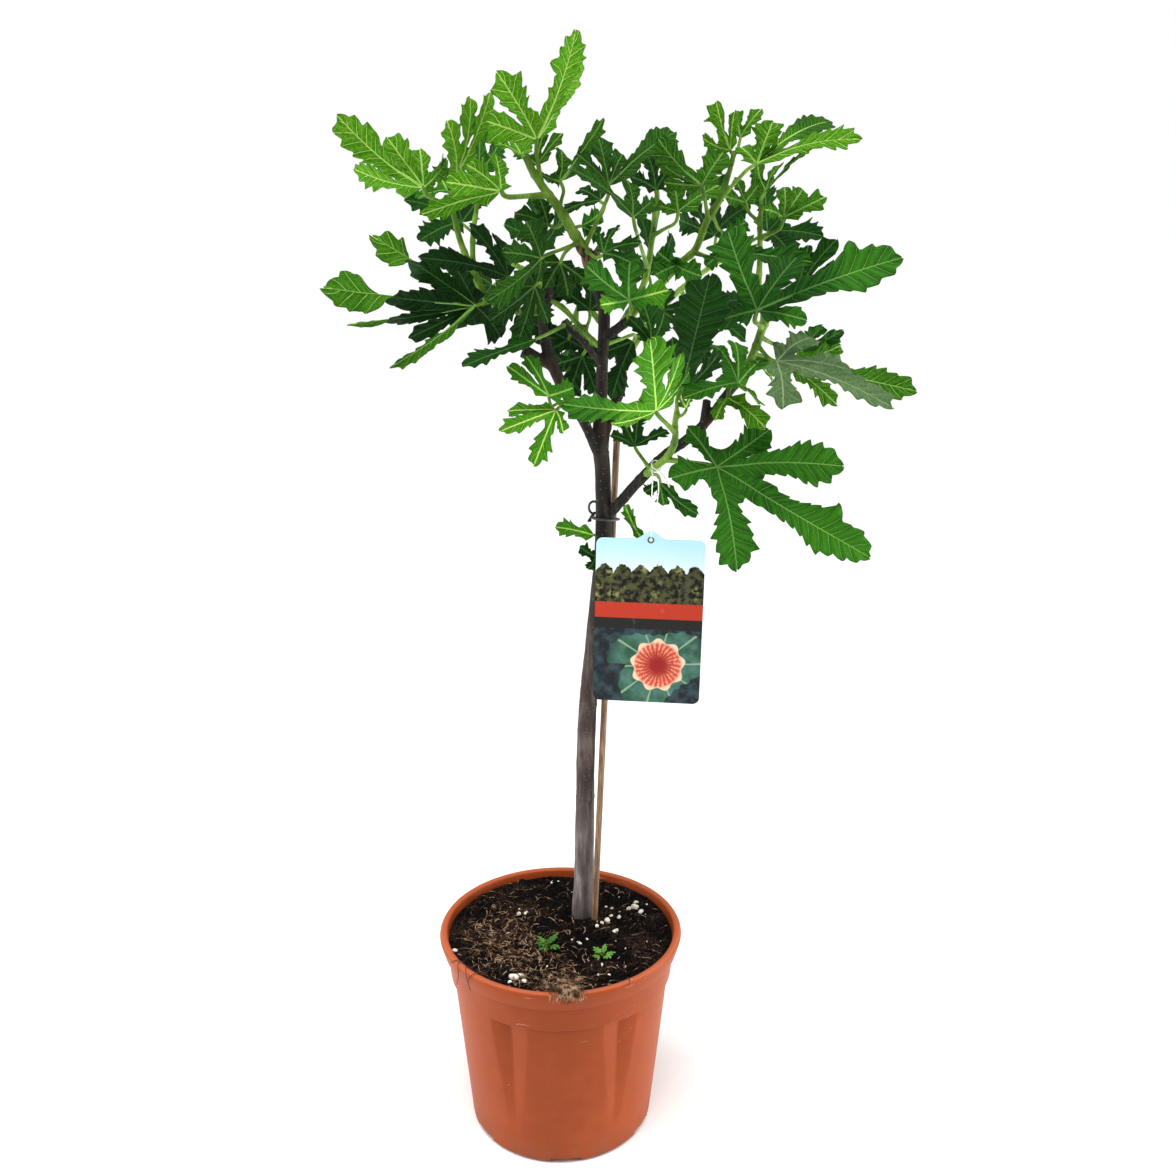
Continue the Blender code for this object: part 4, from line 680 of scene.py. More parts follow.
def lump(holder, middle, size, chance, level=1):  # one irregular lump
    made = bmesh.ops.create_icosphere(holder, subdivisions=level, radius=size)["verts"]
    shift = Vector((chance.uniform(0, 50), chance.uniform(0, 50), chance.uniform(0, 50)))
    stretch = Vector((chance.uniform(0.8, 1.5), chance.uniform(0.7, 1.1), chance.uniform(0.6, 0.95)))
    turn = Matrix.Rotation(
        chance.uniform(0, math.tau), 3, "Z",
    ) @ Matrix.Rotation(chance.uniform(-0.6, 0.6), 3, "X")
    for vertex in made:
        bumpy = 1 + 0.45 * noise.noise(vertex.co * (1.1 / size) + shift)
        vertex.co = turn @ (vertex.co * bumpy * stretch) + middle


def offTrunk(x, y):
    return math.hypot(x - trunkFoot.x, y - trunkFoot.y)


def spotOnSoil(chance, reach):  # a random place on the soil, off the trunk and the cane
    while True:
        x, y = chance.uniform(-reach, reach), chance.uniform(-reach, reach)
        if math.hypot(x, y) < reach and offTrunk(x, y) > 0.0125:
            return x, y


def makeBed():
    gap, collar = soilPlan["gap"], potPlan["collarBottom"]
    floor, level = potPlan["floor"], soilPlan["level"] + soilPlan["lift"]
    inset = 0.0062
    side = [
        (0.0, floor + gap), (innerRadius(floor) - gap - 0.003, floor + gap),
        (innerRadius(0.028) - gap - inset, 0.028), (innerRadius(0.084) - gap - inset, 0.084),
        (innerRadius(collar - 0.001) - gap - inset, collar - 0.001),
        (innerRadius(collar + 0.004) - gap, collar + 0.004),
        (innerRadius(level - 0.0015) - gap, level - 0.0015),
    ]
    edge = innerRadius(level) - gap - 0.0006
    top = [(edge * (1 - ring / soilPlan["rings"]), level) for ring in range(soilPlan["rings"] + 1)]
    shell = spun([Vector(spot) for spot in side + top], soilPlan["steps"])
    for vertex in shell.verts:
        if vertex.co.z > level - 0.0001:
            vertex.co.z = soilTop(vertex.co.x, vertex.co.y)
    keep(addObject("peat", shell, [soilFinish()]), "peat", "soil")


def makeCrumbs(chance):
    crumbs = bmesh.new()
    for index in range(soilPlan["crumbs"]):
        x, y = spotOnSoil(chance, soilPlan["crumbReach"])
        size = chance.uniform(*soilPlan["crumbSize"]) * (1.5 if chance.random() < 0.06 else 1.0)
        lump(crumbs, Vector((x, y, soilTop(x, y) + size * 0.15)), size, chance)
    for across, down, size in soilPlan["brownPlaces"]:
        x, y = onSoil(across, down)
        lump(crumbs, Vector((x, y, soilTop(x, y) + size * 0.0004)), size * 0.001, chance, 2)
    keep(addObject("peat_crumbs", crumbs, [soilFinish()]), "peat")


def makeGrains(chance):
    grains = bmesh.new()
    for across, down, size in soilPlan["whitePlaces"]:
        x, y = onSoil(across, down)
        lump(grains, Vector((x, y, soilTop(x, y) + size * 0.00045)), size * 0.00078, chance, 2)
    for index in range(soilPlan["grains"]):
        x, y = spotOnSoil(chance, soilPlan["grainReach"])
        size = chance.uniform(*soilPlan["grainSize"])
        lump(grains, Vector((x, y, soilTop(x, y) + size * 0.45)), size, chance)
    keep(addObject("white_grains", grains, [grainFinish()]), "peat")


def looseFibres(chance):
    lines, steps = [], soilPlan["fibreSteps"]
    for index in range(soilPlan["fibres"]):
        x, y = spotOnSoil(chance, soilPlan["fibreReach"])
        thicket = soilPlan["thickets"][index % len(soilPlan["thickets"])]
        if thicket:
            x, y = chance.gauss(*thicket[:2]), chance.gauss(*thicket[2:])
        if math.hypot(x, y) > soilPlan["fibreReach"] or offTrunk(x, y) < 0.015:
            continue
        angle, bend = chance.uniform(0, math.tau), chance.uniform(-0.45, 0.45)
        length, lift = chance.uniform(*soilPlan["fibreLength"]), chance.uniform(*soilPlan["fibreLift"])
        points = []
        for step in range(steps + 1):
            points.append(Vector((x, y, soilTop(x, y) + 0.0006 + lift * math.sin(math.pi * step / steps))))
            x += math.cos(angle) * length / steps
            y += math.sin(angle) * length / steps
            angle += bend
            if math.hypot(x, y) > soilPlan["fibreEnd"]:
                break
        if len(points) > 3:
            thick = chance.uniform(*soilPlan["fibreThick"])
            lines.append((points, [thick] * (len(points) - 1) + [thick * 0.4]))
    return lines


def tuftOverRim(chance):
    lines = []
    for index in range(soilPlan["strands"]):
        start = math.radians(soilPlan["tuftAngle"] + chance.gauss(0, 2.6))
        turn, curl = start + math.radians(chance.gauss(0, 4)), chance.uniform(-0.05, 0.05)
        last = chance.choice((4, 5, 5, 6, 6, 7))
        lift, points = chance.uniform(0, 0.0022), []
        for step, (reach, rise) in enumerate(soilPlan["overRim"][:last]):
            angle = start + (turn - start) * step / 6 + curl * math.sin(math.pi * step / 6)
            reach += chance.uniform(-0.0008, 0.0008)
            height = soilPlan["level"] + soilPlan["lift"] + rise + lift
            points.append(Vector((reach * math.cos(angle), reach * math.sin(angle), height)))
        thick = chance.uniform(*soilPlan["strandThick"])
        points = smooth(points, 0.003)
        lines.append((points, [thick] * len(points)))
    return lines


def makeRoots():
    roots, (thick, thin) = [], soilPlan["rootThick"]
    for start, slip, end in soilPlan["roots"]:
        points = []
        for step, (reach, rise) in enumerate(soilPlan["rootPath"]):
            if rise > end or step < 4:
                angle = math.radians(start + slip * math.sin(step * 0.9) * 0.4 + slip * step * 0.12)
                points.append(Vector((reach * math.cos(angle), reach * math.sin(angle), rise)))
        points = smooth(points, 0.0015)
        roots.append((points, [thick] * (len(points) - 1) + [thin]))
    keep(addObject("dark_roots", tubes(roots, 6), [rootFinish()]), "peat")


def makeSoil():
    chance = random.Random(soilPlan["seed"])
    makeBed()
    makeCrumbs(chance)
    makeGrains(chance)
    fibres = looseFibres(chance) + tuftOverRim(chance)
    keep(addObject("peat_fibres", tubes(fibres, 4), [fibreFinish()]), "peat")
    makeRoots()


makeSoil()
print("soil made")


# Wood: round limbs melted into one another, then given bark
def barkFinish():
    finish = Finish("barkFinish", Specular_IOR_Level=0.2)
    spot = finish.place()
    rise = finish.xyz(spot)[2]
    cloud = finish.noise(spot, 26.0, 4.0)
    long = finish.noise(finish.place((260, 260, 34)), 1.0, 5.0, 0.55)
    fine = finish.noise(spot, 800.0, 4.0, 0.6)
    pores = finish.cells(finish.place((1, 1, 1.9)), 210.0)
    cracks = finish.noise(finish.place((240, 240, 60), move=(3, 5, 1)), 1.0, 6.0, 0.7)
    rust = finish.noise(finish.place(move=(0.7, 0.2, 0.5)), 45.0, 3.0)
    foot = finish.ramp(cloud * 0.4 + long * 0.6, wood["footBark"])
    low = finish.ramp(cloud * 0.5 + long * 0.5, wood["lowBark"])
    high = finish.ramp(cloud * 0.4 + long * 0.6, wood["highBark"])
    color = finish.mix((rise + (cloud - 0.5) * 0.06).rise(*wood["footEnd"]), foot, low)
    color = finish.mix((rise + (cloud - 0.5) * 0.08).rise(*wood["lowEnd"]), color, high)
    color = finish.mix(rust.rise(0.5, 0.62) * rise.rise(0.56, 0.62) * 0.5, color, wood["rust"])
    topmost = (rise - at(590, 272, 19).z).rise(0.0, 0.006)
    color = finish.mix(topmost * cracks.rise(0.42, 0.55) * 0.8, color, wood["split"])
    color = finish.mix((1 - pores.rise(0.1, 0.2)) * 0.4, color, wood["pore"])
    # darker close to the soil
    color = finish.mix((1 - rise.rise(*wood["soilLine"])) * 0.6, color, wood["darkNearSoil"])
    relief = long * 0.8 + cracks * 0.7 + fine * 0.2 + (1 - pores.rise(0.08, 0.24)) * 0.5
    return finish.paint(color, fine * 0.2 + 0.62, relief, 0.0009, 0.85)


def scarsOn(points, radii):  # low rings where leaves once grew
    scars, run = [], 0.0
    for before, point, radius, after in zip(points, points[1:], radii[1:], points[2:]):
        run += (point - before).length
        if run > wood["scarEvery"]:
            run = 0.0
            along = (after - before).normalized() * wood["scarLength"]
            swell = radius + wood["scarRise"]
            scars.append(([point - along, point, point + along], [radius * 0.9, swell, radius * 0.9]))
    return scars


def makeWood():
    lines = []
    for line in (
        trunk, leftBranch, rightBranch, deadStub, crossTwig, spurTwig, kneeStub, backBranch, *topKnobs,
    ):
        points, radii = smooth(line[0], wood["step"], line[1])
        lines.append((points, radii))
        if line in (leftBranch, rightBranch, backBranch, spurTwig):
            lines += scarsOn(points, radii)
    for across, down, size in wood["rings"]:
        middle = onStem(trunk, across, down)
        rise = Vector((0, 0, wood["ringHeight"]))
        ends = size - wood["ringDrop"]
        lines.append(([middle - rise, middle, middle + rise], [ends, size, ends]))
    solid = addObject("trunk_and_branches", tubes(lines, 20), [barkFinish()])
    modifier = solid.modifiers.new("melt", "REMESH")
    modifier.mode = "VOXEL"
    modifier.voxel_size = wood["voxel"]
    applyModifiers(solid)
    shell = bmesh.new()
    shell.from_mesh(solid.data)
    for turn in range(wood["smoothing"]):
        bmesh.ops.smooth_vert(
            shell, verts=shell.verts, factor=0.5, use_axis_x=True, use_axis_y=True, use_axis_z=True,
        )
    shell.normal_update()
    for vertex in shell.verts:
        spot = vertex.co
        wide, deep, tall = wood["rippleScale"]
        ripple = noise.fractal(Vector((spot.x * wide, spot.y * deep, spot.z * tall)), 0.9, 2.0, 3)
        knobs = noise.noise(spot * wood["knobScale"])
        vertex.co = spot + vertex.normal * (wood["skin"] + wood["ripple"] * ripple + wood["knobs"] * knobs)
    shell.to_mesh(solid.data)
    shell.free()
    solid.data.shade_smooth()
    print("wood", len(solid.data.polygons), "faces")
    keep(solid, "bark", "trunk")


makeWood()
print("wood made")


# Cane, tie and label
canePlan = {
    "top": (617, 436, 31.0), "atSoil": (594, 928, 11.0), "radius": 0.0027, "steps": 160,
    "knots": (0.36, 0.71), "knotRise": 0.2, "knotLength": 0.0011, "dent": 0.05, "dentLength": 0.004,
    "strips": ((0.34, (0.06, 0.027, 0.011)), (0.5, (0.175, 0.09, 0.038)), (0.66, (0.38, 0.235, 0.115))),
}


def caneLine():
    top, low = at(*canePlan["top"]), at(*canePlan["atSoil"])
    along = (top - low).normalized()
    foot = low - along * ((low.z - wood["rootedTo"]) / along.z)
    return foot, top


def caneFinish():
    finish = Finish("caneFinish")
    strips = finish.noise(finish.place((900, 900, 9)), 1.0, 4.0, 0.6)
    cloud = finish.noise(finish.place(), 40.0, 3.0)
    fine = finish.noise(finish.place((2600, 2600, 60)), 1.0, 3.0)
    color = finish.ramp(strips * 0.75 + cloud * 0.25, canePlan["strips"])
    return finish.paint(color, fine * 0.2 + 0.48, fine + strips, 0.0005, 0.7)


def makeCane():
    foot, top = caneLine()
    along = (top - foot).normalized()
    length = (top - foot).length

    def swells(share, reach):
        return sum(math.exp(-((share - knot) * length / reach) ** 2) for knot in canePlan["knots"])

    points, radii = [], []
    for step in range(canePlan["steps"] + 1):
        share = step / canePlan["steps"]
        swell, dent = swells(share, canePlan["knotLength"]), swells(share, canePlan["dentLength"])
        points.append(foot + along * (length * share))
        radii.append(canePlan["radius"] * (1 + canePlan["knotRise"] * swell - canePlan["dent"] * dent))
    cane = addObject("cane_stake", tubes([(points, radii)], 20), [caneFinish()])
    cane.data.set_sharp_from_angle(angle=math.radians(50))
    keep(cane, "cane", "stake")


tiePlan = {
    "place": (604, 516), "wire": 0.0011, "trunk": 0.0066, "slack": 0.0007, "caneSlack": 0.0006,
    "slope": 0.16, "drop": 0.003, "ring": (-0.0074, 0.009, 0.0046), "knot": (-0.0076, 0.0072, -0.0004),
    "tail": ((0.001, 0.0008, 0.0008), (0, 0, 0), (-0.0014, -0.0034, -0.0018), (-0.0036, -0.0062, -0.0048)),
    "twistRadius": 0.0007, "endRadius": 0.0009, "twist": 0.55,
    "coat": ((0.35, (0.01, 0.016, 0.014)), (0.6, (0.024, 0.034, 0.03)), (0.8, (0.09, 0.09, 0.075))),
}


def wireFinish():
    finish = Finish("wireFinish")
    dust = finish.noise(finish.place(), 240.0, 4.0)
    return finish.paint(finish.ramp(dust, tiePlan["coat"]), dust * 0.3 + 0.28, dust, 0.0002, 0.5)


def makeTie():
    wire = tiePlan["wire"]
    trunkMiddle = onStem(trunk, *tiePlan["place"])
    foot, top = caneLine()
    caneMiddle = foot.lerp(top, (trunkMiddle.z - foot.z) / (top.z - foot.z))
    between = (caneMiddle - trunkMiddle).normalized()
    beside = Vector((0, 0, 1)).cross(between).normalized()
    loop = []
    for middle, reach, start, steps in (  # half round the trunk, then half round the cane
        (trunkMiddle, tiePlan["trunk"] + wire + tiePlan["slack"], math.pi / 2, 8),
        (caneMiddle, canePlan["radius"] + wire + tiePlan["caneSlack"], -math.pi / 2, 4),
    ):
        for step in range(steps + 1):
            angle = start + math.pi * step / steps
            loop.append(middle + (between * math.cos(angle) + beside * math.sin(angle)) * reach)
    for point in loop:
        point.z -= tiePlan["drop"] + tiePlan["slope"] * (point - trunkMiddle).dot(between)
    ring = []
    for step in range(10):
        angle = math.tau * step / 10
        aside = Vector((math.cos(angle) * 0.004, -0.0008 * math.sin(angle), math.sin(angle) * 0.0052))
        ring.append(trunkMiddle + Vector(tiePlan["ring"]) + aside)
    lines = []
    for closed in (loop, ring):
        points = smooth(closed + closed[:2], 0.0008)
        lines.append((points, [wire * 0.92] * len(points)))
    knot = trunkMiddle + Vector(tiePlan["knot"])
    twist = smooth([knot + Vector(aside) for aside in tiePlan["tail"]], 0.0005)
    for start in (0.0, math.pi):  # two ends of the wire wound round each other
        wound = []
        for index, point in enumerate(twist):
            angle = start + index * tiePlan["twist"]
            aside = Vector((math.cos(angle), 0.3 * math.sin(angle), math.sin(angle)))
            wound.append(point + aside * tiePlan["twistRadius"])
        lines.append((wound, [tiePlan["endRadius"]] * len(wound)))
    keep(addObject("wire_tie", tubes(lines, 10), [wireFinish()]), "wire", "tie")


labelPlan = {
    "size": (0.088, 0.0006, 0.139), "corner": 0.0055, "holeRadius": 0.0022, "holeDrop": 0.0008,
    "hump": (0.013, 0.0064), "yaw": math.radians(5.0), "roll": math.radians(1.0),
    "eyelet": (0.00215, 0.00075),  # its circle's radius and its own
    # heights of the print from 0 at the foot to 1 at the top, and the flower's place and reach
    "hedgeTop": 0.845, "stripe": (0.52, 0.615), "band": (0.455, 0.53), "lower": 0.52,
    "flower": (0.6, 0.235), "petals": 0.155, "leaves": 0.245,
    "eyeletGreen": ((0.3, (0.03, 0.07, 0.04)), (0.7, (0.06, 0.13, 0.08))),
}


# A made-up print: pale sky over a hedge, an orange-red stripe, a dark band,
# and a round red flower in green leaves
def labelFinish():
    finish = Finish("cardFinish", Specular_IOR_Level=0.15, Coat_Weight=0.1, Coat_Roughness=0.25)
    spot, u, v = finish.uv("card")

    def spread(across, up):
        return finish.add("ShaderNodeMapping", {}, {"Vector": spot, "Scale": (across, up, 1.0)})

    grain = finish.noise(finish.place(), 900.0, 3.0)
    leafy = finish.noise(spread(17.0, 26.0), 1.0, 4.0, 0.6)
    clumps = finish.cells(spread(9.0, 14.0), 1.0)
    scallops = (abs((u * 6.0).fract() - 0.5) * 2.0) ** 2.0
    sky = finish.mix(v.rise(0.72, 1.0), (0.84, 0.93, 0.95), (0.5, 0.82, 0.92))
    hedge = finish.mix(leafy.rise(0.4, 0.6), (0.001, 0.001, 0.001), (0.075, 0.078, 0.026))
    hedge = finish.mix(
        (1 - clumps.rise(0.18, 0.42)) * leafy.rise(0.45, 0.6) * 0.9, hedge, (0.3, 0.285, 0.1),
    )
    ridge = labelPlan["hedgeTop"] - scallops * 0.05 - (leafy - 0.5) * 0.06
    picture = finish.mix((ridge - v).rise(-0.003, 0.003), sky, hedge)
    mottle = finish.noise(spread(7.0, 11.0), 1.0, 5.0, 0.6)
    below = finish.mix(mottle.rise(0.42, 0.6), (0.008, 0.012, 0.016), (0.03, 0.06, 0.072))
    across, up = (u - labelPlan["flower"][0]) * 0.64, v - labelPlan["flower"][1]
    radius = (across * across + up * up) ** 0.5
    angle = up.angleOver(across)
    leaves = labelPlan["leaves"] + (angle * 2.5 + 0.6).sine() * 0.06 + (angle * 21.0).sine() * 0.006
    rays = abs(((angle * 2.5 + 0.6) / math.tau * 4.0).fract() - 0.5)
    green = finish.mix(mottle.rise(0.3, 0.66), (0.018, 0.085, 0.04), (0.075, 0.19, 0.15))
    green = finish.mix(radius.rise(0.22, 0.3) * 0.7, green, (0.012, 0.05, 0.03))
    green = finish.mix(1 - rays.rise(0.015, 0.06), green, (0.26, 0.4, 0.27))
    below = finish.mix((leaves - radius).rise(-0.004, 0.004), below, green)
    petals = labelPlan["petals"] + (angle * 9.0).sine() * 0.012
    streaks = finish.noise(spread(34.0, 50.0), 1.0, 4.0, 0.7, 1.5) * 0.6
    streaks = streaks + (angle * 27.0 + radius * 40.0).sine() * 0.07 + 0.2
    red = finish.mix(radius.rise(0.02, 0.135), (0.3, 0.012, 0.01), (0.64, 0.07, 0.04))
    red = finish.mix(streaks.rise(0.48, 0.6) * radius.rise(0.04, 0.12), red, (0.82, 0.42, 0.26))
    red = finish.mix(radius.rise(0.128, 0.15), red, (0.8, 0.62, 0.42))
    below = finish.mix((petals - radius).rise(-0.003, 0.003), below, red)
    picture = finish.mix((labelPlan["lower"] - v).rise(-0.002, 0.002), picture, below)
    for part, color in (("band", (0.012, 0.012, 0.011)), ("stripe", (0.5, 0.038, 0.015))):
        low, high = labelPlan[part]
        inside = (v - low).rise(-0.002, 0.002) * (high - v).rise(-0.002, 0.002)
        picture = finish.mix(inside, picture, color)
    worn = finish.noise(spot, 9.0, 3.0).rise(0.62, 0.75)
    picture = finish.mix(worn * 0.06, picture, (0.8, 0.8, 0.8))
    return finish.paint(picture, grain * 0.05 + 0.32, grain, 0.00008, 0.3)


def cardBackFinish():
    finish = Finish("cardBackFinish", Coat_Weight=0.3, Coat_Roughness=0.2)
    u, v = finish.uv("card")[1:]
    grain = finish.noise(finish.place(), 900.0, 3.0)
    tint = finish.mix(v.rise(0.0, 1.0), (0.72, 0.76, 0.72), (0.84, 0.87, 0.86))
    panel = (abs(u - 0.5) - 0.4).rise(-0.003, 0.003).atLeast((abs(v - 0.5) - 0.43).rise(-0.002, 0.002))
    color = finish.mix(1 - panel, (0.3, 0.48, 0.3), tint)
    return finish.paint(color, grain * 0.08 + 0.34, grain, 0.00008, 0.3)


def eyeletFinish():
    finish = Finish("eyeletFinish")
    tone = finish.noise(finish.place(), 600.0)
    return finish.paint(finish.ramp(tone, labelPlan["eyeletGreen"]), tone * 0.2 + 0.4)


def cardOutline():  # rounded corners and a hump above the hole
    width, height = labelPlan["size"][::2]
    corner, (humpHalf, humpRise) = labelPlan["corner"], labelPlan["hump"]
    outline = []
    for across, up, start in ((1, 1, 0), (-1, 1, 90), (-1, -1, 180), (1, -1, 270)):
        for step in range(9):
            angle = math.radians(start + 11.25 * step)
            outline.append((
                across * (width / 2 - corner) + corner * math.cos(angle),
                up * (height / 2 - corner) + corner * math.sin(angle),
            ))
        if start == 0:
            for step in range(21):
                share = 1 - step / 10
                outline.append(
                    (humpHalf * share, height / 2 + humpRise * (1 + math.cos(math.pi * share)) / 2)
                )
    return outline


def makeLabel():
    width, depth, height = labelPlan["size"]
    drop = height / 2 - labelPlan["holeDrop"]
    card = bmesh.new()
    rim = [card.verts.new((x, 0, z - drop)) for x, z in cardOutline()]
    ring = bmesh.ops.create_circle(
        card, segments=28, radius=labelPlan["holeRadius"], matrix=Matrix.Rotation(math.pi / 2, 4, "X")
    )["verts"]
    edges = [card.edges.new((one, other)) for one, other in zip(rim, rim[1:] + rim[:1])]
    edges += list({edge for vertex in ring for edge in vertex.link_edges})
    bmesh.ops.triangle_fill(card, use_beauty=True, use_dissolve=False, edges=edges)
    bmesh.ops.join_triangles(
        card, faces=card.faces[:], cmp_seam=False, cmp_sharp=False, cmp_uvs=False, cmp_vcols=False,
        cmp_materials=False, angle_face_threshold=0.1, angle_shape_threshold=3.1,
    )
    for face in card.faces:
        if face.normal.y > 0:
            face.normal_flip()
    front = card.faces[:]
    solid = bmesh.ops.extrude_face_region(card, geom=front, use_keep_orig=True)
    moved = [item for item in solid["geom"] if isinstance(item, bmesh.types.BMVert)]
    bmesh.ops.translate(card, verts=moved, vec=(0, -depth, 0))
    bmesh.ops.translate(card, verts=card.verts[:], vec=(0, depth / 2, 0))
    bmesh.ops.recalc_face_normals(card, faces=card.faces)
    layer = card.loops.layers.uv.new("card")
    for face in card.faces:
        face.material_index = 0 if face.calc_center_median().y < -depth * 0.4 else 1
        for loop in face.loops:
            loop[layer].uv = (loop.vert.co.x / width + 0.5, (loop.vert.co.z + drop) / height + 0.5)
    place = Matrix.Translation(labelHole) @ Matrix.Rotation(-labelPlan["yaw"], 4, "Z")
    card.transform(place @ Matrix.Rotation(labelPlan["roll"], 4, "Y"))
    label = addObject("picture_label", card, [labelFinish(), cardBackFinish()])
    label.data.set_sharp_from_angle(angle=math.radians(30))
    keep(label, "card", "label")
    lip, (reach, thick) = [], labelPlan["eyelet"]
    for step in range(38):  # once round the hole, and the ends overlap
        angle = math.tau * step / 36
        lip.append(labelHole + Vector((math.cos(angle), 0, math.sin(angle))) * reach)
    keep(addObject("label_eyelet", tubes([(lip, [thick] * len(lip))], 10), [eyeletFinish()]), "card")


makeCane()
makeTie()
makeLabel()
print("cane, tie and label made")


# Leaves
leafPlan = {
    "seed": 5, "blade": 0.00045, "fold": 0.22, "wave": 0.13, "bow": 0.03, "toothPitch": 0.0094,
    "toothPeak": 0.64,
    "sinus": 0.3, "neck": 0.54, "shoulder": 0.74,  # where the lobes part, and a lobe's width there
    # rows to the sinus, columns, rows a tooth
    "ribbedFrom": 0.016, "mesh": (6, 6, 8), "smallMesh": (3, 3, 4),
    "outline": (
        (0.3, 0.52), (0.4, 0.6), (0.52, 0.8), (0.64, 1.04), (0.74, 1.14), (0.83, 1.06), (0.9, 0.84),
        (0.95, 0.54), (0.985, 0.24), (1.0, 0.04),
    ),
    # colours by tone, from leaves in deep shade at 0 to young ones in full light at 1
    "top": (
        (0.0, (0.0015, 0.012, 0.002)), (0.3, (0.007, 0.052, 0.003)), (0.5, (0.026, 0.15, 0.006)),
        (0.7, (0.04, 0.205, 0.003)), (1.0, (0.072, 0.3, 0.004)),
    ),
    "topVeins": (
        (0.0, (0.02, 0.058, 0.02)), (0.3, (0.074, 0.195, 0.04)), (0.5, (0.19, 0.43, 0.085)),
        (0.7, (0.5, 0.82, 0.15)), (1.0, (0.78, 0.96, 0.28)),
    ),
    "under": (
        (0.0, (0.005, 0.026, 0.005)), (0.3, (0.011, 0.062, 0.003)), (0.5, (0.028, 0.13, 0.002)),
        (0.75, (0.045, 0.2, 0.001)), (1.0, (0.08, 0.31, 0.003)),
    ),
    "underVeins": (
        (0.0, (0.06, 0.14, 0.038)), (0.3, (0.13, 0.285, 0.06)), (0.5, (0.32, 0.61, 0.11)),
        (0.75, (0.6, 0.9, 0.17)), (1.0, (0.78, 0.96, 0.28)),
    ),
    "ribs": (
        (0.0, (0.036, 0.092, 0.02)), (0.3, (0.085, 0.2, 0.038)), (0.5, (0.19, 0.39, 0.068)),
        (0.75, (0.33, 0.6, 0.11)), (1.0, (0.48, 0.73, 0.17)),
    ),
    "stalks": ((0.32, (0.036, 0.09, 0.006)), (0.5, (0.096, 0.2, 0.015)), (0.68, (0.2, 0.35, 0.042))),
    # a tone above 1 paints a dull grey-green sheen on the leaf: a painted reflection
    "paintedSheenFrom": 1.05, "grey": ((0.03, 0.085, 0.02), (0.098, 0.175, 0.076)),
    "paintedSheenVeins": (0.23, 0.34, 0.17), "paintedSheenRibs": (0.2, 0.3, 0.15), "edge": (0.03, 0.045, 0.01),
}


def along(knots, share):  # a value between the two nearest knots
    for (start, first), (end, second) in zip(knots, knots[1:]):
        if share <= end:
            return first + (second - first) * max(0.0, share - start) / (end - start)
    return knots[-1][1]


# A lobe: its tip's place, its half width in millimetres, and its turns in degrees
def tip(across, down, depth, half, roll=0, arch=0.06, twist=0, spur=None, shade=0.0):
    return {
        "tip": at(across, down, depth), "half": half / 1000, "roll": math.radians(roll), "arch": arch,
        "twist": math.radians(twist), "spur": spur and (*spur[:2], spur[2] / 1000), "shade": shade,
    }


# A leaf: where its stalk leaves the stem, its blade's foot and its lobes,
# with the stalk's radius and lift in millimetres
def place(root, base, *lobes, radius=1.5, lift=(0, 0, 0), tone=0.4, under=None, flip=False):
    return {
        "root": root, "base": at(*base), "lobes": lobes, "radius": radius / 1000,
        "lift": Vector([part / 1000 for part in lift]),
        "tone": tone, "under": tone if under is None else under, "flip": flip,
    }


def leafNormal(base, lobes):
    total = Vector()
    for one, other in zip(lobes, lobes[1:]):
        total += (other["tip"] - base).cross(one["tip"] - base)
    if len(lobes) == 1 or total.length < 1e-6:
        along = (lobes[0]["tip"] - base).normalized()
        facing = (frontView["eye"] - base).normalized()
        total = facing - along * facing.dot(along)
    return total.normalized()


def gapBetween(base, lobes, normal):  # the way out where the stalk comes in, and how wide the gap there is
    ways = [(lobe["tip"] - base).normalized() for lobe in lobes]
    fan = sum(one.angle(other) for one, other in zip(ways, ways[1:]))
    first = (ways[0] - normal * ways[0].dot(normal)).normalized()
    return Matrix.Rotation(math.pi - fan / 2, 3, normal) @ first, 2 * math.pi - fan


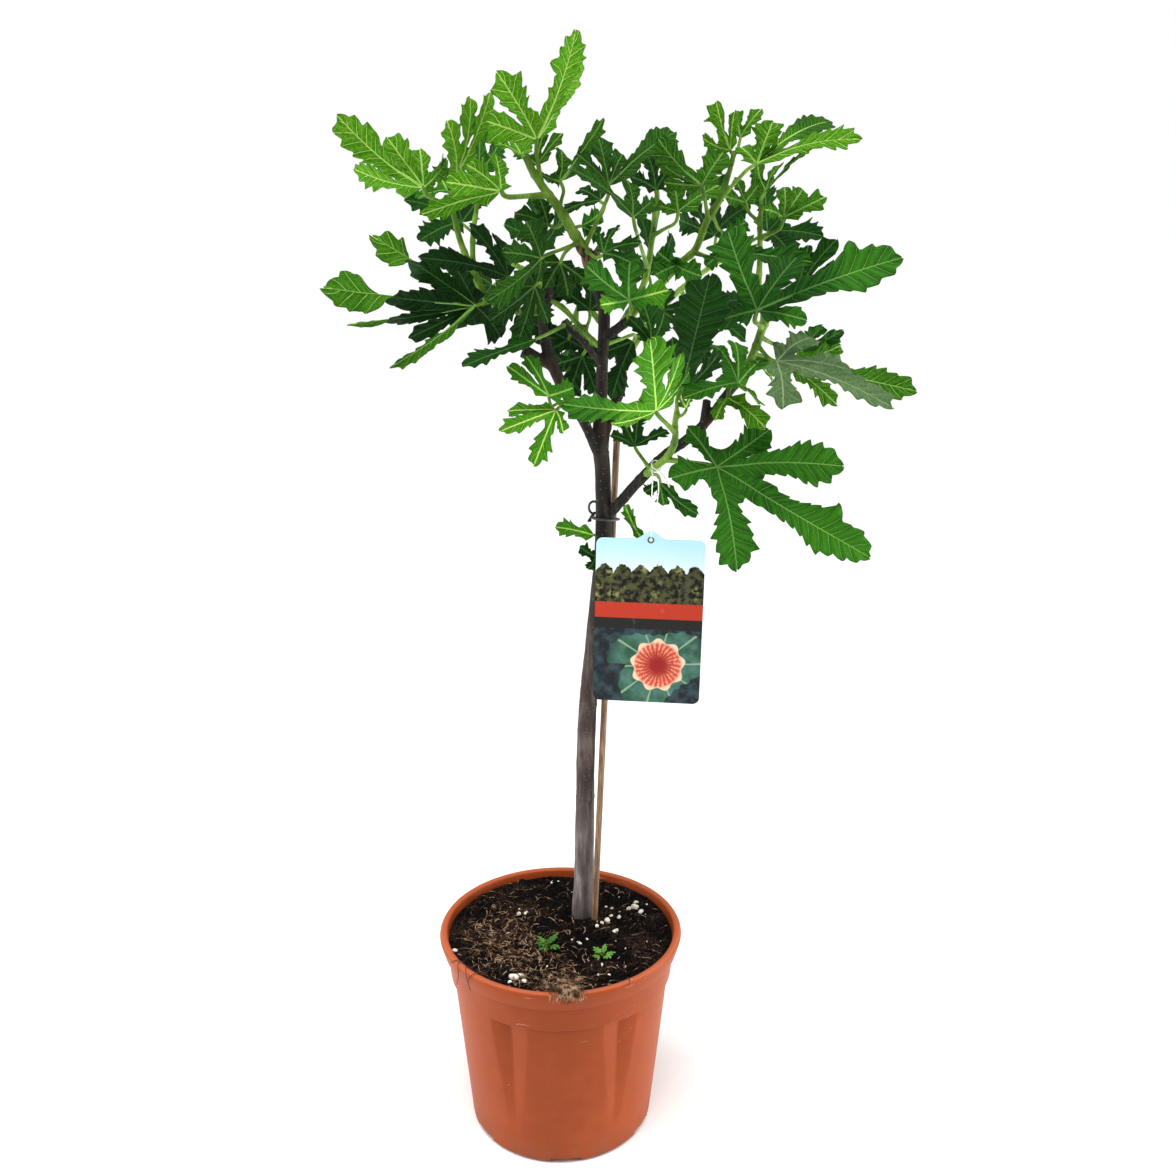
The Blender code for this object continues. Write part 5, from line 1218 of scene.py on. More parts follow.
# the blade goes into a bmesh, stalk and ribs into the tube lines
def addLeaf(blades, lines, ribs, root, leaf, chance, mesh="mesh"):
    base, lobes, radius = leaf["base"], leaf["lobes"], leaf["radius"]
    normal = leafNormal(base, lobes)
    back, gap = gapBetween(base, lobes, normal)
    sinus = leafPlan["sinus"]
    fanRows, columns, rowsATooth = leafPlan[mesh]
    bows = [chance.uniform(-1, 1) * leafPlan["bow"] for lobe in lobes]

    def frameAt(index, share):  # midrib point, sideways direction and facing at a share of a lobe's length
        lobe = lobes[index]
        reach = lobe["tip"] - base
        length = reach.length
        middle = base + reach * share + normal * (4 * share * (1 - share) * lobe["arch"] * length)
        middle = middle + normal.cross(reach) * (
            bows[index] * math.sin(math.pi * share) * min(1.0, share / sinus)
        )
        way = (reach + normal * (4 * (1 - 2 * share) * lobe["arch"] * length)).normalized()
        turn = lobe["roll"] + lobe["twist"] * max(0.0, min(1.0, (share - 0.38) / 0.4))
        facing = (normal - way * normal.dot(way)).normalized()
        facing = Matrix.Rotation(turn, 3, way) @ facing
        return middle, facing.cross(way), facing

    def edgeAt(index, share, width, side):
        middle, across, facing = frameAt(index, share)
        return middle + across * (width * side) + facing * (leafPlan["fold"] * width)

    def room(index, side, share):
        beside = index - side
        reach = lobes[index]["tip"] - base
        if 0 <= beside < len(lobes):
            spread = reach.angle(lobes[beside]["tip"] - base)
            return share * reach.length * math.tan(min(spread, 2.4) / 2) * 0.94
        if gap > 2.9:
            return 1.0
        clear = share * reach.length * math.sin(gap / 2) - radius - 0.0008
        return max(clear / math.cos(gap / 2), lobes[index]["half"] * 0.15)

    def bayBetween(index):
        first = edgeAt(index, sinus, lobes[index]["half"] * leafPlan["neck"], -1)
        second = edgeAt(index + 1, sinus, lobes[index + 1]["half"] * leafPlan["neck"], 1)
        return (first + second) / 2

    bays = [bayBetween(index) for index in range(len(lobes) - 1)]
    veins = blades.loops.layers.uv["veins"]
    sheet = blades.loops.layers.uv["sheet"]
    tones = blades.loops.layers.uv["tones"]
    merged = []
    for index, lobe in enumerate(lobes):
        length = (lobe["tip"] - base).length
        half = lobe["half"]
        teeth = max(3, min(10, round(length * (1 - sinus) / leafPlan["toothPitch"])))
        pitch = (1 - sinus) / (teeth + 0.35)
        count = teeth * rowsATooth
        rows = [sinus * row / fanRows for row in range(fanRows)]
        rows += [sinus + (1 - sinus) * row / count for row in range(count + 1)]
        wavePhase, waveTurns = chance.uniform(0, math.tau), chance.uniform(1.6, 2.8)
        drift = chance.uniform(-0.08, 0.08)
        frames = [frameAt(index, share) for share in rows]
        ahead = (lobe["tip"] - base).normalized()
        for side in (1, -1):
            inner = (side == 1 and index > 0) or (side == -1 and index < len(lobes) - 1)
            bay = bays[index - 1] if side == 1 and index > 0 else bays[index] if inner else None
            sizes = [chance.uniform(0.55, 1.25) for tooth in range(teeth + 3)]
            large = max(0.0, min(1.0, (length - 0.06) / 0.05))
            depth = chance.uniform(0.34, 0.46) * (1 - 0.5 * large)
            shift = chance.uniform(-0.12, 0.12) + (0.0 if side == 1 else 0.38)

            # how far out a tooth stands at a share of the lobe: it leans towards the tip
            def toothAt(share):
                phase = max(0.0, (share - sinus) / pitch + shift + 0.22 * math.sin(wavePhase + 9.0 * share))
                within = phase % 1.0
                peak = leafPlan["toothPeak"]
                blunt = 1 - 0.45 * large
                rise = (within / peak) ** (1.15 * blunt) if within < peak else (
                    (1 - within) / (1 - peak)
                ) ** (1.5 * blunt)
                return rise * sizes[int(phase)]

            def widthAt(share):  # the outline's reach from the midrib
                outer = half * along(leafPlan["outline"], share)
                outer *= 1 + 0.13 * large * math.sin(wavePhase + side + math.tau * 3.1 * share)
                width = outer * (1 - depth + depth * toothAt(share))
                if lobe["spur"] and lobe["spur"][0] == side:
                    spot = sinus + (1 - sinus) * 0.93 * (lobe["spur"][1] + 0.78) / 3
                    width = max(width, lobe["spur"][2] * (1 - (abs(share - spot) / 0.13) ** 1.3))
                return min(width, room(index, side, share))

            startWidth = min(half * leafPlan["shoulder"], room(index, side, sinus))
            if inner:
                startWidth = half * leafPlan["neck"]
            start = bay if inner else edgeAt(index, sinus, startWidth, side)
            shiftStart = start - edgeAt(index, sinus, widthAt(sinus), side)
            grid = bmesh.ops.create_grid(blades, x_segments=len(rows) - 1, y_segments=columns, size=0.5)
            spots = {}
            for vertex in grid["verts"]:
                row = round((vertex.co.x + 0.5) * (len(rows) - 1))
                column = round((vertex.co.y + 0.5) * columns)
                share, out = rows[row], column / columns
                middle, across, facing = frames[row]
                if share < sinus:
                    part = share / sinus
                    if inner:
                        edge = base.lerp(bay, part)
                    else:
                        width = min(startWidth * part ** 0.62, room(index, side, share))
                        edge = edgeAt(index, share, width, side) + shiftStart * part ** 2
                    point = middle.lerp(edge, out)
                    point = point - facing * (math.sin(math.pi * out) * part * half * 0.05)
                else:
                    width = widthAt(share)
                    body = half * along(leafPlan["outline"], share) * (1 - depth * 0.6)
                    near = min(
                        width, body,
                    ) if out < 0.7 else width * 0.6 + min(width, body) * 0.4 if out < 1 else width
                    reach = near * out
                    ease = max(0.0, 1 - (share - sinus) / 0.13) ** 2
                    lean = pitch * length * 0.3 * out ** 3 * toothAt(share) * (1 - ease)
                    point = middle + across * (reach * side) + facing * (
                        leafPlan["fold"] * reach * (1 - 0.25 * out)
                    )
                    point = point + shiftStart * (ease * out) + ahead * lean
                    wave = math.sin(
                        wavePhase + math.tau * waveTurns * share + side * 0.8
                    ) * (1 - share) * 2.0
                    curl = 0.35 * math.cos(
                        math.tau * ((share - sinus) / pitch + shift)
                    ) * min(1.0, (share - sinus) / 0.1)
                    point = point + facing * ((wave + curl) * half * leafPlan["wave"] * out ** 2)
                    quilt = math.cos(math.tau * ((share - sinus) / pitch + shift - 0.66 + 0.9 * (1 - out)))
                    point = point - facing * (quilt * min(0.0006, half * 0.035) * math.sin(math.pi * out))
                phase = (share - sinus) / pitch + shift
                change = drift * min(1.0, share / sinus) + lobe["shade"] * max(
                    0.0, min(1.0, (share - 0.3) / 0.35),
                )
                spots[vertex] = (
                    (phase, side * out), (share * length, (point - middle).length * side),
                    (leaf["tone"] + change, leaf["under"] + change),
                )
                vertex.co = point
            made = list({face for vertex in grid["verts"] for face in vertex.link_faces})
            for face in made:
                for loop in face.loops:
                    loop[veins].uv, loop[sheet].uv, loop[tones].uv = spots[loop.vert]
            if (side == -1) != leaf["flip"]:
                bmesh.ops.reverse_faces(blades, faces=made)
            merged += grid["verts"]
        if length > leafPlan["ribbedFrom"]:  # a raised rib along the under side
            thick = min(0.00105, 0.0004 + length * 0.007)
            away = -1 if not leaf["flip"] else 1
            points, radii = [], []
            for row, share in enumerate(rows):
                if share > 0.96 or row % 3:
                    continue
                size = thick * (1 - 0.8 * share)
                points.append(frames[row][0] + frames[row][2] * (away * (leafPlan["blade"] + size * 0.45)))
                radii.append(size)
            ribs.append((points, radii, leaf["under"]))
    bmesh.ops.remove_doubles(blades, verts=merged, dist=0.00001)

    way = (back + (root - base).normalized() * 0.8).normalized()
    joint = base + way * min(0.008, 0.4 * (root - base).length)
    middle = (root + joint) / 2 + leaf["lift"]
    under = normal * (leafPlan["blade"] + radius * 0.5) * (1 if leaf["flip"] else -1)
    points, radii = smooth(
        [root, middle, joint, base + under, base + under - back * 0.0015],
        0.0022,
        [radius * 1.45, radius * 0.95, radius * 0.92, radius * 0.85, radius * 0.45],
    )
    lines.append((points, radii))


def leafFinish(name, side, netStrength, veinWidth, relief, rough):
    stops, veinStops = leafPlan[side], leafPlan[side + "Veins"]
    finish = Finish(name, Specular_IOR_Level=0.06)
    phase, cross = finish.uv("veins")[1:]
    flat, ahead, across = finish.uv("sheet")
    tone = finish.uv("tones")[1 if side == "top" else 2]
    inward = 1 - abs(cross)
    bend = inward * 0.62 + inward * inward * 0.34
    stage = phase - leafPlan["toothPeak"] + bend
    off = abs((stage + 0.5).fract() - 0.5)
    width = (0.34 + inward * 0.66) * veinWidth
    sideVein = 1 - (off / width).rise(0.5, 1.0)
    halfWay = abs(stage.fract() - 0.5)
    minor = (1 - (halfWay / (width * 0.6)).rise(0.3, 1.0)) * inward.rise(0.15, 0.55) * 0.45
    rib = 1 - (abs(across) / (0.001 - ahead * 0.0055).atLeast(0.00038)).rise(0.5, 1.0)
    net = 1 - finish.cells(flat, 330.0, "DISTANCE_TO_EDGE").rise(0.01, 0.13)
    veinMask = rib.atLeast(sideVein).atLeast(minor)
    object = finish.place()
    cloud = finish.noise(object, 34.0, 3.0)
    fine = finish.noise(object, 420.0, 4.0, 0.6)
    puff = (off * 2).atMost(1.0)
    # grey: painted reflection, a grey-green sheen on leaves with a tone above 1
    grey = (tone - leafPlan["paintedSheenFrom"]).rise(0.0, 0.1)
    # in the colour, puff paints shade beside the side veins and light on the bulges between them; in the
    # height it is relief
    base = finish.ramp(tone + (cloud - 0.5) * 0.26 + (fine - 0.5) * 0.16 + (puff - 0.5) * 0.17, stops)
    base = finish.mix(grey, base, finish.mix(cloud, *leafPlan["grey"]))
    color = finish.mix(abs(cross).rise(0.9, 1.0) * 0.4, base, leafPlan["edge"])
    veined = finish.ramp(tone, veinStops)
    color = finish.mix(net * netStrength, color, veined)
    veined = finish.mix(grey, veined, leafPlan["paintedSheenVeins"])
    color = finish.mix(veinMask * 0.92, color, veined)
    height = puff * 0.5 - veinMask * relief + net * (-0.12 if relief > 0 else 0.16) + fine * 0.12
    return finish.paint(color, rough + fine * 0.14 - veinMask * 0.05, height, 0.0011, 0.8)


def stalkFinish():
    finish = Finish("stalkFinish", Specular_IOR_Level=0.2)
    spot = finish.place()
    cloud = finish.noise(spot, 60.0, 3.0)
    long = finish.noise(finish.place((500, 500, 60)), 1.0, 3.0)
    fine = finish.noise(spot, 1100.0, 3.0)
    color = finish.ramp(cloud * 0.7 + long * 0.3, leafPlan["stalks"])
    return finish.paint(color, fine * 0.2 + 0.42, long + fine * 0.5, 0.0004, 0.6)


def ribFinish():
    finish = Finish("ribFinish", Specular_IOR_Level=0.2)
    spot = finish.place()
    cloud = finish.noise(spot, 40.0, 3.0)
    fine = finish.noise(spot, 1100.0, 3.0)
    tone = finish.uv("tones")[2]
    color = finish.ramp(tone + (cloud - 0.5) * 0.2, leafPlan["ribs"])
    # painted reflection: a grey-green sheen on the ribs of leaves with a tone above 1
    color = finish.mix((tone - leafPlan["paintedSheenFrom"]).rise(0.0, 0.1), color, leafPlan["paintedSheenRibs"])
    return finish.paint(color, fine * 0.2 + 0.5, fine, 0.0003, 0.5)


leafFinishes = [
    leafFinish("leafTopFinish", "top", 0.06, 0.046, 0.6, 0.48),
    leafFinish("leafUnderFinish", "under", 0.1, 0.056, -0.7, 0.6),
    stalkFinish(),
    ribFinish(),
]


def newBlades():
    blades = bmesh.new()
    for layer in ("veins", "sheet", "tones"):
        blades.loops.layers.uv.new(layer)
    return blades


def makeShoot(name, node, slot, stems, carriers, leaves):
    chance = random.Random(leafPlan["seed"] + len(node) * 7 + len(leaves))
    blades, lines, ribs = newBlades(), [], []
    for line in stems:
        points, radii = smooth(line[0], 0.0026, line[1])
        run = 0.0
        for index in range(1, len(points)):
            run += (points[index] - points[index - 1]).length
            if run > 0.016 and index < len(points) - 2:
                radii[index] *= 1.16
                run = 0.0
        radii = [radius * 0.96 for radius in radii]
        lines.append((points, radii))
    for leaf in leaves:
        root = min(
            (onStem(line, *leaf["root"]) for line in (stems or carriers)),
            key=lambda point: (seen(point) - Vector(leaf["root"])).length,
        )
        addLeaf(blades, lines, ribs, root, leaf, chance)
    piece = finishLeaves(name, blades, lines, ribs)
    print(node, len(piece.data.polygons), "faces")
    keep(piece, slot, node)


def finishLeaves(name, blades, lines, ribs):  # gives the blades thickness and joins stalks and ribs to them
    sheetObject = addObject(name, blades, leafFinishes)
    solidify = sheetObject.modifiers.new("thickness", "SOLIDIFY")
    solidify.thickness = leafPlan["blade"]
    solidify.offset = -1.0
    solidify.material_offset = 1
    solidify.material_offset_rim = 1
    applyModifiers(sheetObject)
    whole = bmesh.new()
    whole.from_mesh(sheetObject.data)
    groups = [(2, lines, 8, 0.0)]
    for tone in sorted({rib[2] for rib in ribs}):  # ribs take the tone of their leaf
        groups.append((3, [rib[:2] for rib in ribs if rib[2] == tone], 6, tone))
    for index, group, sides, tone in groups:
        if group:
            before = len(whole.faces)
            added = tubes(group, sides)
            whole.from_mesh(added)
            whole.faces.ensure_lookup_table()
            layer = whole.loops.layers.uv["tones"]
            for face in whole.faces[before:]:
                face.material_index = index
                for loop in face.loops:
                    loop[layer].uv = (tone, tone)
            bpy.data.meshes.remove(added)
    whole.to_mesh(sheetObject.data)
    whole.free()
    sheetObject.data.shade_smooth()
    return sheetObject


def makeSprig(name, node, foot, turn, count, reach, tone):
    chance = random.Random(count * 31 + int(turn * 10))
    blades, lines, ribs = newBlades(), [], []
    low = Vector((foot[0], foot[1], soilTop(*foot) - 0.003))
    top = low + Vector((0.0, 0.0, 0.0068))
    points, radii = smooth(
        [low, low.lerp(top, 0.5) + Vector((0.0004, 0, 0)), top], 0.002, [0.0009, 0.0008, 0.0006],
    )
    lines.append((points, radii))
    for index in range(count):
        angle = turn + math.tau * index / count + chance.uniform(-0.25, 0.25)
        lift = chance.uniform(0.05, 0.55) if index % 3 else chance.uniform(0.7, 1.0)
        length = reach * chance.uniform(0.75, 1.05)

        def way(offset):
            flat = Vector((math.cos(angle + offset), math.sin(angle + offset), 0)) * math.cos(lift)
            return flat + Vector((0, 0, math.sin(lift)))

        root = low.lerp(top, chance.uniform(0.6, 1.0))
        base = root + way(0) * length * 0.3
        shape = {"half": length * 0.15, "roll": 0.0, "arch": 0.1, "twist": 0.0, "spur": None, "shade": 0.0}
        leaf = {
            "base": base, "radius": 0.0004, "lift": Vector(), "tone": tone, "under": tone, "flip": False,
        }
        leaf["lobes"] = [
            {"tip": base + way(offset) * length * size, **shape}
            for offset, size in ((0.85, 0.42), (0.4, 0.62), (0.0, 0.8), (-0.4, 0.62), (-0.85, 0.42))
        ]
        addLeaf(blades, lines, ribs, root, leaf, chance, "smallMesh")
    keep(finishLeaves(name, blades, lines, ribs), "seedling", node)


topStem = stem(
    (588, 254, 18.5, 4), (575, 235, 12, 4.3), (560, 210, 5, 3.9),
    (545, 190, 0, 3.4), (532, 170, -4, 3.1), (526, 156, -6, 2.8),
)
leftStem = stem(
    (549, 307, -15.3, 2.4), (533, 313, -16.5, 2.6), (512, 310, -12, 2.7), (488, 300, -8, 2.8),
    (470, 265, 0, 2.7), (460, 240, 4, 2.5), (454, 216, 6, 2.3), (450, 205, 7, 2),
)
leftBackStem = stem(
    (486, 297, -8, 2.6), (474, 268, 12, 2.4), (473, 235, 24, 2.2),
    (476, 213, 30, 2), (478, 195, 34, 1.8),
)
outerStem = stem(
    (735, 385, -19, 3), (750, 361, -19, 3.2), (760, 335, -26, 3.2), (765, 316, -30, 3.6),
    (759, 290, -28, 2.4), (760, 255, -20, 2.1), (760, 220, -10, 1.9), (762, 206, -6, 1.6),
)
rightStem = stem(
    (627, 321, 4, 3), (645, 300, 0, 2.9), (665, 280, -12, 2.9), (679, 264, -20, 2.8),
    (695, 250, -20, 2.7), (705, 225, -20, 2.6), (712, 212, -20, 2.8), (720, 200, -21, 2.3),
    (727, 180, -22, 2), (734, 154, -22, 1.7),
)
middleStem = stem(
    (620, 326, 7, 2.6), (636, 300, 30, 2.7), (646, 277, 45, 2.6), (652, 240, 50, 2.4),
    (656, 212, 50, 3), (657, 196, 49, 2.2), (657, 186, 48, 1.4),
)
innerStem = stem(
    (602, 348, 18, 2.6), (590, 338, 34, 2.5), (576, 322, 44, 2.3), (562, 306, 48, 2),
)
lowLeftStem = stem((582, 416, 6, 2.2), (572, 411, 0, 2.1), (562, 402, -16, 1.8))
backLeftStem = stem(
    (613, 336, 93, 3), (580, 300, 103, 2.8), (545, 280, 115, 2.6), (510, 262, 126, 2.4),
    (480, 240, 130, 2),
)
backRightStem = stem(
    (620, 368, 78, 3), (650, 322, 95, 2.8), (680, 290, 110, 2.6), (712, 266, 122, 2.4),
    (745, 245, 127, 2),
)

topLeaves = [
    place(
        (541, 185), (536, 139, -12),
        tip(487, 121, -30, 13), tip(497, 73, -30, 14),
        tip(575, 31, -30, 13.5, spur=(1, 1, 21)), tip(581, 54, 30, 10),
        radius=1.7, tone=0.87, under=0.87, flip=True,
    ),
    place(
        (540, 188), (521, 156, 10), tip(489, 141, 0, 9), tip(500, 128, 30, 9), tip(530, 135, 40, 7),
        tone=0.85, flip=True,
    ),
    place(
        (546, 197), (500, 191, -40),
        tip(422, 214, -60, 8), tip(446, 182, -70, 13), tip(467, 165, -50, 10), tip(495, 155, -20, 11),
        radius=2, tone=0.7, flip=True,
    ),
    place(
        (558, 210), (560, 181, 0),
        tip(541, 173, 20, 7), tip(561, 151, 20, 10), tip(603, 119, -20, 6), tip(601, 129, 30, 6),
        tone=0.45, flip=True,
    ),
    place(
        (545, 190), (538, 165, 30), tip(515, 150, 40, 6), tip(545, 131, 35, 6), tip(562, 134, 30, 6),
        tone=0.4, flip=True,
    ),
    place(
        (578, 240), (560, 262, 30),
        tip(530, 262, 20, 8), tip(545, 288, 30, 8), tip(568, 296, 40, 9), tip(590, 284, 35, 7),
        tone=0.26,
    ),
    place(
        (566, 222), (548, 226, 20), tip(520, 240, 10, 7), tip(516, 214, 20, 8), tip(540, 200, 30, 8),
        tone=0.28, flip=True,
    ),
    place((572, 230), (582, 226, 20), tip(600, 213, 30, 9), tip(599, 236, 30, 8), tone=0.4),
    place(
        (580, 243), (540, 258, -30),
        tip(532, 292, -20, 8), tip(488, 300, -70, 12), tip(503, 252, -60, 10), tip(526, 222, -40, 14),
        tone=0.3, flip=True,
    ),
    place(
        (584, 249), (608, 186, -10),
        tip(577, 155, -20, 8), tip(598, 138, 0, 13), tip(622, 155, 20, 8),
        tip(674, 133, 40, 10, spur=(1, 1, 15)),
        tone=0.3, flip=True,
    ),
    place(
        (584, 248), (600, 200, 40), tip(562, 212, 30, 6), tip(580, 189, 50, 7), tip(604, 176, 60, 6),
        tone=0.25,
    ),
    place(
        (585, 251), (604, 253, -20),
        tip(600, 234, 0, 6), tip(616, 227, 0, 8), tip(640, 243, -42, 7), tip(640, 268, -55, 9),
        tone=0.35,
    ),
]
leftLeaves = [
    place(
        (533, 313), (534, 286, -36),
        tip(548, 322, -30, 7), tip(516, 346, -30, 10), tip(490, 320, -50, 10), tip(500, 285, -40, 9),
        radius=1.3, tone=0.12, flip=True,
    ),
    place(
        (451, 208), (423, 187, -40),
        tip(355, 169, -10, 10), tip(338, 116, -70, 13, spur=(-1, 1, 21)),
        tip(388, 138, -40, 13), tip(420, 150, -20, 8), tip(446, 161, 0, 9),
        radius=1.7, tone=0.75, flip=True,
    ),
    place((452, 208), (447, 190, 20), tip(418, 198, 0, 7), tip(432, 172, 40, 8), tone=0.55),
    place(
        (450, 205), (456, 174, 0), tip(447, 122, -20, 15), tip(470, 99, 0, 16.5), tip(489, 94, 12, 12),
        tone=0.95, flip=True,
    ),
    place(
        (478, 197), (478, 172, 60), tip(460, 146, 60, 8), tip(478, 117, 80, 13), tip(499, 140, 100, 10),
        tone=0.35,
    ),
    place(
        (488, 300), (476, 306, -30),
        tip(500, 337, -8, 14), tip(392, 367, -60, 11.5, roll=-105), tip(409, 338, -30, 7.5),
        tip(349, 325, -50, 8, twist=-110), tip(324, 288, -80, 15, twist=-165),
        tip(373, 237, -40, 14.5, twist=-160), tip(457, 270, 0, 11),
        radius=1.8, tone=0.1, under=0.52,
    ),
    place(
        (495, 303), (508, 277, 10), tip(421, 258, -60, 9), tip(470, 225, 0, 13), tip(496, 236, 30, 9),
        tone=0.1,
    ),
]
lowLeftLeaves = [
    place(
        (566, 406), (556, 410, -30),
        tip(563, 432, -30, 6), tip(534, 465, -50, 8.5), tip(501, 431, -60, 7), tip(508, 411, -20, 7),
        tone=0.75,
    ),
    place(
        (562, 402), (549, 396, -35),
        tip(509, 367, -40, 7), tip(526, 356, -30, 7), tip(573, 388, -30, 10),
        radius=1.3, tone=0.62,
    ),
]
innerLeaves = [
    place(
        (576, 322), (574, 296, 60), tip(546, 300, 60, 8), tip(556, 274, 70, 9), tip(580, 268, 75, 8),
        tone=0.09,
    ),
    place(
        (568, 314), (538, 296, 30), tip(525, 318, 30, 8), tip(510, 292, 30, 9), tip(528, 270, 40, 9),
        tone=0.13, flip=True,
    ),
    place((600, 347), (633, 341, 46), tip(612, 398, 46, 12), tip(574, 368, 66, 12), tone=0.13),
    place(
        (594, 342), (582, 356, 30), tip(596, 392, 35, 10), tip(568, 396, 30, 13), tip(548, 366, 40, 10),
        tone=0.15,
    ),
    place(
        (578, 324), (568, 340, 45), tip(590, 352, 60, 10), tip(545, 352, 40, 12), tip(528, 322, 60, 12),
        tone=0.11,
    ),
    place(
        (562, 306), (552, 300, 50), tip(515, 325, 50, 10), tip(508, 290, 50, 12), tip(545, 268, 70, 11),
        tone=0.08,
    ),
    place(
        (585, 332), (590, 310, 55), tip(564, 290, 60, 10), tip(590, 268, 75, 12), tip(612, 292, 70, 9),
        tone=0.11,
    ),
]
crossLeaves = [
    place(
        (564, 325), (536, 339, -32), tip(463, 366, -70, 10, roll=55), radius=1.4, lift=(0, -10, 0),
        tone=0.3,
    )
]
middleLeaves = [
    place(
        (655, 236), (678, 212, 30), tip(645, 205, 40, 7), tip(675, 187, 40, 10), tip(718, 186, 50, 11),
        tone=0.4, flip=True,
    ),
    place(
        (647, 268), (632, 218, -40),
        tip(572, 170, -60, 9), tip(627, 181, -20, 14), tip(650, 203, 0, 8),
        tone=0.25, flip=True,
    ),
    place(
        (653, 226), (656, 189, 30), tip(630, 176, 20, 7), tip(648, 156, 30, 10), tip(668, 170, 40, 7),
        tone=0.22,
    ),
]
rightLeaves = [
    place(
        (629, 319), (629, 300, -100),
        tip(601, 305, -80, 7, shade=0.3), tip(587, 266, -90, 12), tip(630, 262, -100, 13, shade=-0.1),
        tip(668, 290, -100, 10, shade=0.25),
        tone=0.38,
    ),
    place(
        (640, 305), (652, 343, -85), tip(629, 318, -74, 9), tip(641, 300, -84, 12), tip(664, 313, -56, 10),
        tone=0.25,
    ),
    place(
        (655, 290), (662, 310, -30),
        tip(672, 290, -40, 6), tip(698, 303, -50, 9), tip(690, 332, -40, 8),
        tone=0.25,
    ),
    place(
        (708, 219), (702, 185, -40),
        tip(665, 182, -20, 7), tip(655, 156, 0, 7), tip(659, 139, -50, 12), tip(723, 153, -30, 13),
        tone=0.4, flip=True,
    ),
    place(
        (732, 160), (731, 150, -24),
        tip(704, 138, 0, 6), tip(717, 102, -30, 10.5, spur=(1, 1, 15)), tip(735, 112, -30, 7),
        radius=1.4, tone=0.7, flip=True,
    ),
    place(
        (733, 156), (741, 138, 0), tip(736, 112, 10, 6), tip(761, 110, 0, 7), radius=1.3, tone=0.55,
        flip=True,
    ),
    place(
        (722, 198), (757, 165, -30),
        tip(741, 148, -10, 10), tip(773, 123, -30, 15.5), tip(829, 122, 30, 11, roll=18, shade=-0.28),
        tip(860, 140, -60, 11, roll=15),
        tone=0.68, flip=True,
    ),
    place(
        (694, 254), (724, 250, -30), tip(706, 266, -30, 7), tip(744, 231, -30, 10), tip(812, 262, -50, 10),
        tone=0.35,
    ),
    place((712, 214), (727, 233, 0), tip(746, 222, 10, 8), tip(742, 246, 0, 7), radius=1.3, tone=0.35),
    place(
        (679, 264), (676, 265, -34),
        tip(655, 275, -50, 9), tip(658, 252, -30, 10), tip(701, 276, -60, 11),
        tone=0.35,
    ),
]
outerLeaves = [
    place(
        (739, 380), (738, 383, -50),
        tip(684, 398, -92, 10), tip(713, 345, 12, 11), tip(735, 343, 14, 10), tip(764, 357, 0, 10),
        tip(757, 402, -30, 11),
        tone=0.5,
    ),
    place((740, 378), (728, 398, -30), tip(765, 428, -60, 10), tip(716, 420, -40, 7), tone=0.62, flip=True),
    place((752, 357), (760, 366, -20), tip(770, 362, 10, 5), tip(772, 380, -20, 6), radius=1.2, tone=0.85),
    place(
        (763, 328), (757, 310, -80),
        tip(716, 322, -66, 12), tip(728, 231, -64, 17), tip(797, 257, -50, 13, spur=(1, 1, 21)),
        tip(901, 258, -100, 15, spur=(1, 1, 21), shade=0.22), tip(806, 320, -80, 10, shade=0.2),
        radius=1.8, tone=0.3,
    ),
    # this leaf's tone above 1 paints a grey-green sheen on it, a painted reflection
    place(
        (757, 344), (777, 361, -80),
        tip(812, 338, -40, 12), tip(851, 371, -70, 13), tip(891, 407, -120, 13), tip(783, 408, -110, 12),
        radius=1.7, tone=1.3,
    ),
    place(
        (753, 354), (790, 365, 0), tip(840, 346, 10, 9), tip(915, 391, -20, 11), tip(836, 404, 0, 8),
        tone=0.55, flip=True,
    ),
    place((760, 336), (800, 350, 20), tip(822, 326, 0, 10), tip(842, 331, 0, 9), tone=0.35),
    place(
        (762, 302), (800, 285, 0), tip(808, 246, 0, 8), tip(836, 240, -10, 10), tip(840, 266, -10, 8),
        tone=0.3,
    ),
    place(
        (761, 208), (766, 193, 10), tip(758, 166, 30, 8), tip(781, 165, 40, 6), tip(815, 147, -10, 7),
        tone=0.45, flip=True,
    ),
    place(
        (760, 224), (744, 203, 0),
        tip(724, 197, -20, 8), tip(734, 179, 0, 9), tip(760, 183, 20, 9),
        tone=0.4, flip=True,
    ),
    place(
        (760, 240), (783, 218, -20),
        tip(765, 210, -30, 8), tip(784, 188, -20, 9), tip(802, 190, 0, 9), tip(824, 198, -20, 8),
        tone=0.48, flip=True,
    ),
]
lowerLeaves = [
    place(
        (676, 432), (656, 411, -100),
        tip(612, 424, -90, 6), tip(562, 404, -130, 12, shade=-0.35), tip(650, 340, -130, 16),
        tip(681, 354, -90, 10, shade=-0.15), tip(696, 358, -60, 7, shade=-0.2),
        radius=1.7, tone=0.74,
    ),
    place(
        (651, 470), (635, 446, 20),
        tip(611, 435, 18, 8), tip(619, 417, 48, 10), tip(640, 409, 60, 9), tip(667, 431, 30, 7),
        tone=0.2,
    ),
    place(
        (664, 459), (717, 467, -52), tip(688, 428, -40, 9), tip(769, 430, -40, 14),
        tip(842, 466, -60, 16, shade=0.1), tip(869, 557, -80, 15, spur=(1, 1, 23), shade=0.12),
        tip(737, 569, -80, 16.5), tip(672, 478, -70, 13), radius=1.8, tone=0.42,
    ),
    place(
        (647, 473), (660, 483, 10), tip(697, 514, 6, 8), tip(664, 505, 12, 6), tip(645, 492, 14, 6),
        tone=0.35,
    ),
    place(
        (677, 414), (682, 391, -60), tip(672, 338, -50, 9), tip(710, 276, -108, 19), tip(720, 352, -45, 8),
        tone=0.22,
    ),
    place((677, 418), (686, 408, -58), tip(680, 390, -50, 5), tip(694, 392, -60, 4), radius=1.3, tone=0.8),
]
